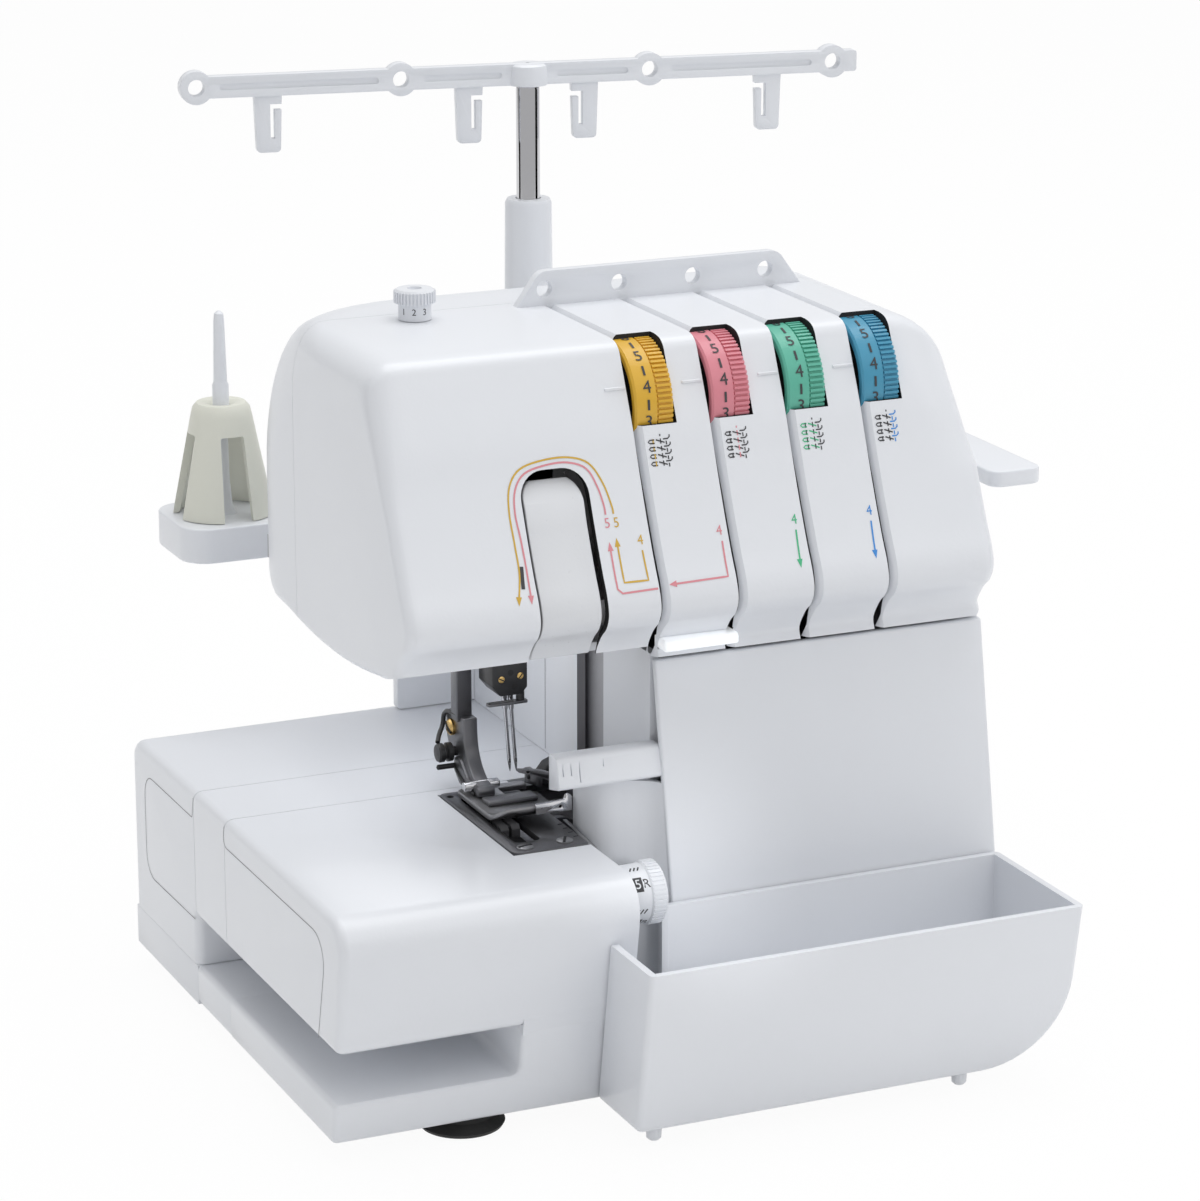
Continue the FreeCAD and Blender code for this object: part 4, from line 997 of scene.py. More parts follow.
@dataclass
class FrontCover:
    """The leaning looper cover with its concave wing and the grooved ledge that guides the cloth."""

    left: float = -46.4
    right: float = 72.1
    top: Point = (-69.5, 139.6)
    foot: Point = (-83.2, 63.2)
    hem: float = 52.0
    low: float = 22.0
    thick: float = 2.6
    wing_wall: float = 1.8
    wing: tuple[Point, ...] = ((-66.4, -50), (-66.6, -57), (-65.2, -63.6), (-61.6, -67.6), (-56.6, -69.8), (-52, -72.6),
                               (-48.6, -76.6), (-45.8, -83))

    def face_y(self, height: float) -> float:
        """The panel's leaning front at a height."""
        (y0, z0), (y1, z1) = self.top, self.foot
        return y0 + (y1 - y0) * (z0 - height) / (z0 - z1)

    def _wing(self, line: Sequence[Point], low: float, high: float) -> bpy.types.Object:
        """A concave wall that runs back from the panel's left edge, following its lean."""
        curve = Draw.smooth_line(line, 5)
        inner = []
        for i, (x, y) in enumerate(curve):
            (x0, y0), (x1, y1) = curve[max(i - 1, 0)], curve[min(i + 1, len(curve) - 1)]
            run = Vector((x1 - x0, y1 - y0)).normalized()
            inner.append((x - run.y * self.wing_wall, y + run.x * self.wing_wall))
        made = Bench.prism("wing", curve + inner[::-1], Axis.Z, low, high, WHITE)
        start, end = -66.0, self.wing[-1][1]
        for vertex in made.data.vertices:
            share = min(1.0, max(0.0, (vertex.co.y / MM - start) / (end - start)))
            vertex.co.y += share * (self.face_y(max(vertex.co.z / MM, self.foot[1])) + 0.3 - end) * MM
        return Bench.smooth(made, 40)

    def build(self) -> None:
        """Make the cover and the ledge."""
        (y0, z0), (y1, z1) = self.top, self.foot
        inside = y1 + self.thick
        side = [(y0, z0), (y1, z1), (y1, self.hem), (inside, self.hem), (inside, z1), (y0 + 3, z0)]
        panel = Bench.prism("panel", side, Axis.X, self.left, self.right, WHITE)
        Bench.soften(panel, 0.9, 3)
        end = [(y0 + 0.4, z0 - 0.3), (y1 + 0.4, z1), (y1 + 0.4, self.low), (-66.3, self.low), (-66.3, z0 - 0.3)]
        cheek = Bench.soften(Bench.prism("cheek", end, Axis.X, self.right - 2.4, self.right - 0.05, WHITE), 0.6)
        upper = self._wing(self.wing, self.foot[1], 100.2)
        lower = self._wing(self.wing[2:], self.low + 0.5, self.foot[1])
        Bench.assemble("looper_cover", [panel, cheek, upper, lower], "front_cover", WHITE, "front_cover")
        ledge = Draw.rounded([(-75.2, 102.4, 1.2), (-66.6, 100.3, 0.5), (-66.6, 112.4, 0.6), (-72.6, 112.4, 2.6)], 5)
        guide = Bench.prism("ledge", ledge, Axis.X, -82, -45.9, WHITE)
        notches = [Bench.block("mark", (x, -80, low), (x + 0.4, -73.0, 114), WHITE)
                   for x, low in ((-80.4, 106.5), (-77.6, 106.5), (-74.7, 104), (-66.4, 108))]
        Bench.carve(guide, *notches)
        Bench.fit(Bench.soften(guide, 0.6, 2, 45), "front_cover", WHITE, "cloth_guide")


@dataclass
class SpoolStand:
    """The spool stand, its pins and cone holders, and the telescopic tree."""

    pins: tuple[Point, ...] = ((-124.8, 121), (-52.8, 121), (19.2, 121), (91.2, 121))
    pole: Point = (-8.8, 119.6)
    turn: float = -8.76
    top: float = 150.5
    tree_top: float = 303.5
    ring: Point = (5.8, 2.9)
    bar: float = 7.5
    eyelets: tuple[float, ...] = (-118, -46, 44, 112)
    hooks: tuple[float, ...] = (-93, -21.5, 20.4, 88)

    def build(self) -> None:
        """Make the tray, pins, holders, pole and tree."""
        plan = Draw.rounded([(-145, 100.6, 10), (-20, 100.6, 0.8), (-20, 88.3, 0.8), (60, 88.3, 0.8), (60, 100.6, 0.8),
                             (148.7, 100.6, 0.8), (148.7, 59.4, 5), (170, 59.4, 5), (170, 141, 12), (-145, 141, 10)], 8)
        tray = Bench.prism("tray", plan, Axis.Z, 138, self.top, WHITE)
        Bench.carve(tray, Bench.block("wing_relief", (140, 50, 130), (180, 108, 144.4), WHITE))
        Bench.soften(tray, 2.2, 4, 50)
        Bench.assemble("spool_tray", [tray], "machine", WHITE, "spool_stand")
        profile = [(4.6, self.top), (3.2, self.top + 3), (2.4, self.top + 12), (2.1, 180), (2.9, 182), (2.9, 196.4),
                   (2.5, 197.2), (2.4, 198), (1.9, 219), (1.6, 221.6), (0.6, 222.5)]
        pins = [Bench.turned("pin", Axis.Z, pin, profile, WHITE, 32) for pin in self.pins]
        Bench.assemble("spool_spindles", pins, "machine", WHITE, "spool_pins")
        for number, pin in enumerate(self.pins, start=1):
            self._cone(f"cone_holder_{number}", f"cone_seat_{number}", *pin)
        self._pole()
        self._tree()

    def _cone(self, node: str, name: str, x: float, y: float) -> None:
        """One cone holder: a hollow cone on four legs, with a short neck."""
        low, high = self.top + 0.3, 190.5
        outer = [(17.6, low), (17.3, low + 2), (10.7, high - 4.6), (10.0, high - 1.8), (8.6, high - 0.2), (7.4, high),
                 (5.2, high - 0.4), (3.2, high - 2.2), (3.2, high - 6), (8.2, high - 7), (15.4, low)]
        steps, rows, faces = 64, len(outer), []
        spots = [(*spot, z) for radius, z in outer for spot in Draw.arc((x, y), radius, 0, math.tau, steps)[:-1]]
        for row in range(rows):
            for k in range(steps):
                a, b, nxt = row * steps + k, row * steps + (k + 1) % steps, ((row + 1) % rows) * steps
                faces.append((a, b, nxt + (k + 1) % steps, nxt + k))
        cone = Bench.piece("cone", spots, faces, CREAM)
        arch = Draw.rounded([(-5.4, low - 3, 0), (5.4, low - 3, 0), (4.2, high - 10.5, 0.8),
                             (-4.2, high - 10.5, 0.8)], 3)
        cutters = [Bench.prism("leg_gap", [(across + u, v) for u, v in arch], axis, along - 20, along + 20, CREAM)
                   for axis, across, along in ((Axis.Y, x, y), (Axis.X, y, x))]
        Bench.carve(cone, *cutters)
        Bench.assemble(name, [cone], node, CREAM, node)

    def _pole(self) -> None:
        """The tapered tube and the chromed rod that slides in it."""
        tube = [(10.6, self.top), (9.6, self.top + 2), (9.2, self.top + 6), (8.3, 252.0), (7.6, 253.4), (4.5, 253.5),
                (4.5, 240)]
        Bench.fit(Bench.turned("tree_tube", Axis.Z, self.pole, tube, WHITE, 64), "machine", WHITE, "pole_tube")
        rod = [(0.5, self.top + 18), (4.2, self.top + 18), (4.2, 292.6), (3.9, 293.6)]
        Bench.fit(Bench.turned("tree_rod", Axis.Z, self.pole, rod, CHROME, 64), "pole_rod", CHROME, "pole_rod")

    def _tree(self) -> None:
        """The tree's bar with its eyelets, shallow grooves and open hooks."""
        mid = self.tree_top - self.ring[0]
        top, low = mid + self.bar / 2, mid - self.bar / 2
        parts = []
        outline = Draw.rectangle((-121, low), (121, top), 1, 3)
        bar = Bench.prism("bar", outline, Axis.Y, -2.4, 2.4, WHITE)
        rings = [Bench.turned("ring", Axis.Y, (spot, mid), [(self.ring[0], -2.4), (self.ring[0], 2.4)], WHITE, 40)
                 for spot in self.eyelets]
        Bench.combine("UNION", bar, *rings)
        cutters = [Bench.turned("eye", Axis.Y, (spot, mid), [(self.ring[1], -6), (self.ring[1], 6)], WHITE, 32)
                   for spot in self.eyelets]
        for low_x, high_x in ((-110, -54), (-38, -10), (10, 36), (52, 104)):
            groove = Draw.rectangle((low_x, mid - 1.1), (high_x, mid + 1.1), 1, 3)
            cutters.append(Bench.prism("bar_groove", groove, Axis.Y, -4, -1.7, WHITE))
        Bench.carve(bar, *cutters)
        parts.append(Bench.soften(bar, 0.5))
        for spot in self.hooks:
            side = 1 if spot < 0 else -1
            shape = Draw.rounded([(spot - 4.2, low - 19.8, 1.5), (spot + 4.2, low - 19.8, 1.5),
                                  (spot + 4.9, low + 1.5, 0.2), (spot - 4.9, low + 1.5, 0.2)], 4)
            hook = Bench.prism("hook", shape, Axis.Y, -1.5, 1.5, WHITE)
            inner, outer = spot + side * 1.5, spot + side * 8
            slit = Bench.block("slit", (inner - 0.8, -5, low - 15), (inner + 0.8, 5, low - 3), WHITE)
            mouth = Bench.block("mouth", (min(inner, outer), -5, low - 5), (max(inner, outer), 5, low - 3), WHITE)
            Bench.carve(hook, slit, mouth)
            parts.append(Bench.soften(hook, 0.4))
        boss = [(7.0, low - 0.1), (7.2, low + 2), (6.6, top - 0.8), (5.6, top - 0.1), (0.5, top)]
        parts.append(Bench.turned("boss", Axis.Z, (0, 0), boss, WHITE, 48))
        tree = Bench.join("thread_tree_bar", parts)
        turn = Matrix.Rotation(math.radians(self.turn), 4, "Z")
        tree.data.transform(Matrix.Translation(Vector((*self.pole, 0)) * MM) @ turn)
        Bench.fit(tree, "thread_tree", WHITE, "thread_tree")


@dataclass
class NeedleWorks:
    """What sews: needle clamp and needles, presser bar, ankle and foot, plate, feed dog, loopers and knives."""

    needle: Point = (-76.0, -23.0)
    presser: Point = (-87.0, -7.0)
    plate_top: float = 83.0
    needle_lean: float = 0.075

    def build(self) -> None:
        """Make every piece of the sewing works."""
        self._plate()
        self._feed_dog()
        self._clamp()
        self._presser()
        self._foot()
        self._loopers()
        self._knives()

    @staticmethod
    def screw(axis: Axis, centre: Point, face: float, out: float, radius: float, finish: Finish,
              angle: float) -> list[bpy.types.Object]:
        """A domed, slotted screw head standing on a face.

        Args:
            axis: the screw's axis.
            centre: its place on the other two axes.
            face: where the face is along the axis.
            out: height of the head, negative when it points down the axis.
            radius: head radius.
            finish: head finish.
            angle: turn of the slot.

        Returns:
            The head and its dark slot.
        """
        profile = [(radius, face), (radius, face + out * 0.55), (radius * 0.8, face + out * 0.9), (0.1, face + out)]
        head = Bench.turned("screw", axis, centre, profile, finish, 28)
        run = Vector((math.cos(angle), math.sin(angle)))
        reach, side = run * radius * 0.92, Vector((-run.y, run.x)) * radius * 0.17
        bar = [tuple(Vector(centre) + end) for end in (reach + side, side - reach, -reach - side, reach - side)]
        low, high = sorted((face + out * 0.5, face + out * 1.04))
        return [head, Bench.prism("slot", bar, axis, low, high, SHADE)]

    def _plate(self) -> None:
        """The needle plate with its feed opening, needle notch, screws and small hole."""
        top = self.plate_top
        outline = Draw.rounded([(-97, -73.4, 4), (-71, -73.4, 1), (-71, -26, 0.4), (-79, -26, 0.8), (-79, -20, 0.8),
                                (-71, -20, 0.4), (-71, -9.2, 1), (-97, -9.2, 2)], 5)
        plate = Bench.prism("plate", outline, Axis.Z, top - 2.4, top, DARK_STEEL)
        slot = Draw.rectangle((-92.4, -64), (-83.6, -16), 2)
        dot = Bench.turned("dot", Axis.Z, (-94.4, -13.4), [(1.1, top - 1), (1.1, top + 2)], SHADE, 20)
        Bench.carve(plate, Bench.prism("feed_slot", slot, Axis.Z, 70, 90, SHADE), dot)
        parts = [Bench.soften(plate, 0.35)]
        for x, y, turn in ((-91.5, -69.2, 0.2), (-77.4, -68.4, 1.1)):
            parts += self.screw(Axis.Z, (x, y), top - 0.1, 0.8, 2.7, STEEL, turn)
        for y in (-66 + k * 4.2 for k in range(4)):
            parts.append(Bench.block("gauge", (-73.2, y, top), (-71.6, y + 0.4, top + PRINT_LIFT), SHADE))
        Bench.assemble("needle_plate_sheet", parts, "machine", DARK_STEEL, "needle_plate")

    def _feed_dog(self) -> None:
        """The feed dog, with its rows of teeth."""
        start, pitch, count, low, root, tip = -49, 1.5, 18, 73, 81.9, 83.35
        outline: list[Point] = [(start, low)]
        for y in (start + k * pitch for k in range(count)):
            outline += [(y, root), (y + 1.2, tip)]
        outline += [(start + count * pitch, root), (start + count * pitch, low)]
        rows = [Bench.prism("teeth", outline, Axis.X, x, x + 2.9, ENAMEL) for x in (-91.4, -87.5)]
        bar = Bench.block("feed_bar", (-91.4, -63.4, 72.4), (-84.6, -8, 79.4), BLACK, 0.5)
        Bench.assemble("feed_teeth", [*rows, bar], "feed_dog", STEEL, "feed_dog")

    def _clamp(self) -> None:
        """The black needle clamp with two brass screws, the steel thread bar and the two needles."""
        x, y = self.needle
        shape = Draw.rounded([(x - 9.6, 124, 1), (x - 6.8, 120.4, 1.2), (x + 0.8, 120.4, 1.2), (x + 2.8, 122.8, 1),
                              (x + 2.8, 133.6, 0.6), (x - 9.6, 133.6, 0.6)], 4)
        block = Bench.soften(Bench.prism("clamp", shape, Axis.Y, y - 6, y + 6, BLACK), 0.5, 2, 45)
        parts = [block]
        for dx, dz, radius in ((-6.4, 126.2, 1.1), (0.2, 126.8, 1.1)):
            parts += self.screw(Axis.Y, (x + dx, dz), y - 5.9, -0.5, radius, BRASS, 0.8 + dx * 0.2)
        for dx, dz in ((-3.2, 128.2), (-1.8, 123.4)):
            parts.append(Bench.turned("bore", Axis.Y, (x + dx, dz), [(1.0, y - 6.06), (1.0, y - 5)], SHADE, 20))
        post = Bench.turned("post", Axis.Z, (x + 1.4, y - 3.0), [(1.4, 117.0), (1.4, 120.6)], BLACK, 20)
        wire = Draw.rectangle((x - 10.4, y - 4.6), (x + 3.6, y - 1.8), 0.7)
        bar = Bench.prism("bar", wire, Axis.Z, 116.8, 117.7, DARK_STEEL)
        opening = Draw.rectangle((x - 9.2, y - 3.9), (x - 0.4, y - 2.6), 0.4, 3)
        Bench.carve(bar, Bench.prism("bar_gap", opening, Axis.Z, 110, 120, STEEL))
        parts += [post, Bench.soften(bar, 0.25)]
        Bench.assemble("needle_clamp_block", parts, "needle_bar", BLACK, "needle_clamp")
        needles, point = [], 92.5
        for side in (-1.1, 1.1):
            profile = [(0.08, point), (0.35, 93.6), (0.5, 95.2), (0.62, 96.4), (0.62, 113.5), (0.95, 114.6),
                       (0.95, 119.5)]
            needles.append(Bench.turned("needle", Axis.Z, (x + side, y), profile, CHROME, 20))
            needles.append(Bench.block("eye", (x + side - 0.2, y - 0.66, 95.6), (x + side + 0.2, y - 0.5, 97.0), SHADE))
        pair = Bench.join("needle_pair", needles)
        for vertex in pair.data.vertices:
            vertex.co.x -= self.needle_lean * (vertex.co.z - point * MM)
        Bench.fit(pair, "needle_bar", CHROME, "needles")

    def _presser(self) -> None:
        """The dark presser bar and the ankle with its brass screw, black release knob and wire spring."""
        x, y = self.presser
        flat = Draw.rectangle((x - 3.4, y - 2.6), (x + 2.2, y + 2.6), 0.6)
        bar = Bench.soften(Bench.prism("bar", flat, Axis.Z, 107, 198, DARK_STEEL), 0.4)
        Bench.assemble("presser_rod", [bar], "presser_bar", DARK_STEEL, "presser_bar")
        front = Draw.smooth_line([(y - 5.6, 108.8), (y - 5.9, 103), (y - 6.9, 98.4), (y - 9.6, 94), (y - 13.6, 90.8),
                                  (y - 18.4, 89.2)], 5)
        back = Draw.smooth_line([(y - 17, 86.8), (y - 10.4, 87.6), (y - 4.4, 89.8), (y + 1.6, 93.6), (y + 7, 96.0),
                                 (y + 9.6, 100.2), (y + 9.6, 106.4), (y + 7.4, 108.8)], 5)
        side = x - 2.2
        leg = Bench.prism("leg", front + back, Axis.X, side, x + 2.8, DARK_STEEL)
        parts = [Bench.soften(leg, 0.8, 3)]
        parts += self.screw(Axis.X, (y + 4.2, 103.4), side + 0.1, -1.8, 2.8, BRASS, 0.5)
        knob = [(0.5, x - 8.8), (2.8, x - 8.6), (3.2, x - 8.0), (3.2, x - 6.6), (2.4, x - 6.2), (2.4, x - 5.6),
                (3.2, x - 5.2), (3.2, x - 3.6), (1.6, x - 3.4), (1.6, side)]
        parts.append(Bench.turned("release", Axis.X, (y + 2.2, 95.6), knob, BLACK, 32))
        spring = [(side - 0.4, y - 2, 109.2), (side - 0.6, y + 5.6, 109.0), (side - 0.8, y + 9.8, 106.6),
                  (side - 1.4, y + 9.0, 102.8), (side - 3.8, y + 7.0, 100.2), (side - 5.2, y + 4.4, 98.6)]
        parts.append(self.wire("spring", spring, 0.8, BLACK))
        lever = [(0.3, x - 9.4), (0.9, x - 9.0), (0.9, side)]
        parts.append(Bench.turned("stud", Axis.X, (y + 0.6, 91.2), lever, BLACK, 20))
        lower = [(side - 0.5, y + 0.4, 91.0), (side - 0.9, y - 4.4, 88.6), (side - 0.9, y - 11, 86.9),
                 (side - 0.6, y - 17, 86.6)]
        parts.append(self.wire("lower_wire", lower, 0.75, BLACK))
        Bench.assemble("presser_ankle_leg", parts, "presser_bar", STEEL, "presser_ankle")

    @staticmethod
    def wire(name: str, path: Sequence[Spot], radius: float, finish: Finish) -> bpy.types.Object:
        """A bent round wire through points, as plain mesh."""
        curve = bpy.data.curves.new(name, "CURVE")
        curve.dimensions, curve.use_fill_caps = "3D", True
        curve.bevel_depth, curve.bevel_resolution = radius * MM, 3
        line = curve.splines.new("NURBS")
        line.points.add(len(path) - 1)
        for point, spot in zip(line.points, path):
            point.co = (*(Vector(spot) * MM), 1)
        line.use_endpoint_u = True
        line.order_u = 3
        shown = Bench.show(name, curve)
        mesh = Bench.plain(shown)
        bpy.data.objects.remove(shown)
        mesh.materials.clear()
        mesh.materials.append(finish.material())
        return Bench.smooth(Bench.show(name, mesh))

    def _foot(self) -> None:
        """The polished foot: a thin sole with an upturned toe, its hinge block and the guide tab on the toe."""
        outline = Draw.rounded([(-93, -49.5, 5), (-70, -50, 2), (-69.5, -27, 0.6), (-80, -27, 1), (-80, -19, 1),
                                (-69.5, -19, 0.6), (-69.5, -15, 1), (-93, -15, 2)], 4)
        sole = Bench.prism("sole", outline, Axis.Z, 83.9, 85.9, STEEL)
        work = bmesh.new()
        work.from_mesh(sole.data)
        toe, slice_width, curl = -41, 1.5, 0.045
        for y in (toe - slice_width * k for k in range(6)):
            bmesh.ops.bisect_plane(work, geom=work.verts[:] + work.edges[:] + work.faces[:], dist=1e-7,
                                   plane_co=(0, y * MM, 0), plane_no=(0, 1, 0))
        for vertex in work.verts:
            ahead = max(0.0, toe * MM - vertex.co.y) / MM
            vertex.co.z += curl * ahead ** 2 * MM
        work.to_mesh(sole.data)
        work.free()
        parts = [Bench.soften(sole, 0.4)]
        hinge = Draw.rounded([(-27, 86, 1), (-10, 86, 0.5), (-5, 90, 2), (-6, 94.5, 2), (-11, 94.5, 3),
                              (-17, 89.8, 3), (-27, 89.2, 1.5)], 5)
        parts.append(Bench.soften(Bench.prism("hinge", hinge, Axis.X, -90, -84, DARK_STEEL), 0.4))
        pin = [(0.4, -93.2), (1.5, -93.0), (1.7, -92.4), (1.7, -81), (1.3, -80.6)]
        parts.append(Bench.turned("hinge_pin", Axis.X, (-21.5, 88.6), pin, CHROME, 24))
        parts.append(Bench.block("bridge", (-90, -36, 85.8), (-72.5, -29.5, 87.4), DARK_STEEL, 0.6))
        rail = Draw.rounded([(-80, 86.6, 0.3), (-67.4, 86.6, 0.3), (-67.4, 92.2, 1.2), (-69.2, 92.2, 0.8),
                             (-69.8, 90.6, 0.6), (-80, 89.9, 0.3)], 4)
        tab = Bench.prism("tab", rail, Axis.Y, -51.4, -49.9, CHROME)
        Bench.carve(tab, Bench.turned("tab_hole", Axis.Y, (-71.5, 88.4), [(0.5, -56), (0.5, -45)], SHADE, 16))
        parts.append(Bench.soften(tab, 0.25))
        Bench.assemble("presser_sole", parts, "presser_foot", CHROME, "presser_foot")

    def _loopers(self) -> None:
        """The two loopers: hubs on their shaft and tapered, curved arms."""
        outer = {"upper_looper": [(-54.0, 57), (-53.6, 81), (-56, 87.8), (-61, 91.4), (-66, 94.2), (-71.4, 96),
                                  (-78, 95.7)],
                 "lower_looper": [(-54.0, 57), (-53.6, 65), (-55.2, 72.5), (-59.5, 75.8), (-64.5, 76.2), (-68.5, 74.6)]}
        inner = {"upper_looper": [(-78, 94.9), (-71.6, 93.7), (-66.6, 90.6), (-62.6, 87), (-58.6, 81), (-58, 57)],
                 "lower_looper": [(-68.5, 73.7), (-64.5, 73.4), (-60, 71.8), (-57.8, 67), (-58, 57)]}
        shaft, bend, run = (-56, 52), -64, 14
        for name, y, reach in (("upper_looper", -44, 11.0), ("lower_looper", -30, 0.0)):
            hub = Bench.turned("hub", Axis.Y, shaft,
                               [(3.05, y), (5.4, y), (6, y + 0.6), (6, y + 5.4), (5.4, y + 6), (3.05, y + 6)],
                               DARK_STEEL, 40)
            rim = Draw.smooth_line(outer[name], 5) + Draw.smooth_line(inner[name], 5)
            arm = Bench.prism("arm", rim, Axis.Y, y + 0.4, y + 3.2, DARK_STEEL)
            tip = outer[name][-1]
            eye = Bench.turned("eye", Axis.Y, (tip[0] + 2.4, tip[1] - 0.3), [(0.4, y - 2), (0.4, y + 6)], SHADE, 16)
            Bench.soften(Bench.carve(arm, eye), 0.35)
            for vertex in arm.data.vertices:
                vertex.co.y += reach * max(0.0, bend * MM - vertex.co.x) / run
            parts = [hub, arm]
            parts += self.screw(Axis.Y, (shaft[0], shaft[1] + 5.5), y + 0.5, -0.7, 1.3, STEEL, 0.3)
            Bench.assemble(f"{name}_arm", parts, name, DARK_STEEL, name)

    def _knives(self) -> None:
        """The upper knife on its dark bracket and the lower blade."""
        arm = [(-66.3, 86.2), (-66, 89.6), (-63.4, 92.8), (-59.6, 94.2), (-55, 94.4), (-42.8, 94.4), (-42.8, 91.6),
               (-55, 91.6), (-59.4, 90.8), (-61.6, 89), (-62.2, 86.2)]
        bracket = Bench.soften(Bench.prism("bracket", arm, Axis.Y, -23, -17, BLACK), 0.8, 3, 25)
        edge = Bench.prism("edge", [(-24.8, 86.5), (-14.4, 84.6), (-14.4, 90), (-24.8, 90)], Axis.X, -68.4, -66.2,
                           DARK_STEEL)
        parts = [bracket, Bench.soften(edge, 0.25)]
        parts += self.screw(Axis.X, (-18, 88), -68.3, -0.6, 1.1, BLACK, 0.9)
        Bench.assemble("upper_knife_arm", parts, "upper_knife", DARK_STEEL, "upper_knife")
        blade = Bench.prism("blade", [(-72, 64), (-48, 64), (-48, 82.6), (-72, 80.8)], Axis.X, -69.3, -67.8, STEEL)
        Bench.assemble("lower_knife_blade", [Bench.soften(blade, 0.25)], "machine", STEEL, "lower_knife")


@dataclass
class Controls:
    """Knobs and fittings on the body: pressure knob, width dial, side dials, handwheel, rocker and inlet."""

    knob: Point = KNOB
    knob_ring: float = 5.4
    drum: Point = (-92.0, 71.0)
    drum_radius: float = 9.6
    drum_low: float = -69.6
    side_dials: tuple[tuple[str, float], ...] = (("stitch_length_dial", 0.0), ("feed_ratio_dial", 62.0))
    side_height: float = 105.0
    wheel: Point = (25.0, 45.0)
    wheel_radius: float = 27.4
    arrow_radius: float = 14.4
    rocker: Point = (-42.0, 108.0)
    inlet: Point = (-43.0, 38.0)

    def build(self) -> None:
        """Make each control."""
        self._pressure_knob()
        self._width_dial()
        self._side_dials()
        self._handwheel()
        self._power()

    def _pressure_knob(self) -> None:
        """The ribbed presser pressure knob with its figure ring and hollow top."""
        (x, y), ring = self.knob, self.knob_ring
        body = [(2.5, 210), (2.5, 239.1), (ring, 239.2), (ring, 244.4), (6.4, 244.7), (6.4, 248.6), (5.9, 249.2),
                (2.4, 249.3), (2.0, 247.6), (0.4, 247.4)]
        parts = [Bench.turned("knob", Axis.Z, (x, y), body, WHITE, 64)]
        parts.append(Ribs.ring("knob_ribs", Axis.Z, (x, y), 6.5, 244.8, 248.6, 36, 0.7, WHITE, 0.55))

        def lay(u: float, v: float) -> Spot:
            """A figure's point on the ring."""
            angle, reach = -math.pi / 2 - 0.42 + u / ring, ring + PRINT_LIFT
            return (x + reach * math.cos(angle), y + reach * math.sin(angle), v)

        for k, figure in enumerate("123"):
            parts.append(Draw.text(figure, 3.0, (-3.6 + 3.6 * k, 242.2), lay, INK))
        Bench.assemble("pressure_cap", parts, "pressure_knob", WHITE, "pressure_knob")

    def _width_dial(self) -> None:
        """The stitch-width dial: a figure drum and a ribbed grip."""
        (y, z), low, radius = self.drum, self.drum_low, self.drum_radius
        body = [(3, -103), (3, low), (radius - 0.3, low), (radius, low + 0.5), (radius, -61.8), (10.0, -61.4),
                (10.0, -57), (9.2, -56.1), (0.5, -56)]
        parts = [Bench.turned("dial", Axis.X, (y, z), body, WHITE, 80)]
        parts.append(Ribs.ring("grip", Axis.X, (y, z), 9.95, -61.2, -56.9, 44, 0.7, WHITE, 0.5))

        def lay(u: float, v: float, lift: float = PRINT_LIFT) -> Spot:
            """A print's point on the drum."""
            angle, reach = v / radius, radius + lift
            return (u, y - reach * math.cos(angle), z + reach * math.sin(angle))

        def above(u: float, v: float) -> Spot:
            """A point on top of a print."""
            return lay(u, v, 2 * PRINT_LIFT)

        for k, figure in enumerate(("5", "6", "7", "4")):
            height = 6.2 + k * 15.08
            parts.append(Draw.stroke("figure_box", [(-65.9, height - 2.4), (-65.9, height + 2.4)], 3.2, lay, INK))
            parts.append(Draw.text(figure, 4.4, (-65.9, height), above, WHITE))
            parts.append(Draw.text("R", 4.2, (-63.0, height), lay, INK))
            for step in range(3):
                at = -67.0 + step * 1.3
                parts.append(Draw.stroke("mark", [(at, height + 5.2), (at + 1.0, height + 6.8)], 0.5, lay, INK))
        Bench.assemble("width_drum", parts, "width_dial", WHITE, "width_dial")

    def _side_dials(self) -> None:
        """The stitch-length and differential-feed dials on the right side."""
        z = self.side_height
        for name, y in self.side_dials:
            body = [(3, 58.4), (3, 72.6), (11, 72.7), (11.2, 73.2), (11.2, 75.2), (9.4, 75.6), (9.2, 79.6),
                    (8.4, 80.2), (0.5, 80.2)]
            parts = [Bench.turned("dial", Axis.X, (y, z), body, WHITE, 80)]
            parts.append(Ribs.ring("grip", Axis.X, (y, z), 9.4, 75.8, 79.4, 30, 0.8, WHITE, 0.5))
            parts.append(Bench.block("pointer", (80.15, y - 0.5, z + 3.5), (80.32, y + 0.5, z + 7.6), INK))
            lay = self._face(75.2 + PRINT_LIFT, y, z)
            for angle in map(math.radians, range(30, 151, 20)):
                ends = [(r * math.cos(angle), r * math.sin(angle)) for r in (9.8, 10.9)]
                parts.append(Draw.stroke("tick", ends, 0.35, lay, INK))
            Bench.assemble(f"{name}_cap", parts, name, WHITE, name)

    @staticmethod
    def _face(x: float, y: float, z: float) -> Callable[[float, float], Spot]:
        """Lay marks on a face square to X, round a centre."""
        return lambda u, v: (x, y + u, z + v)

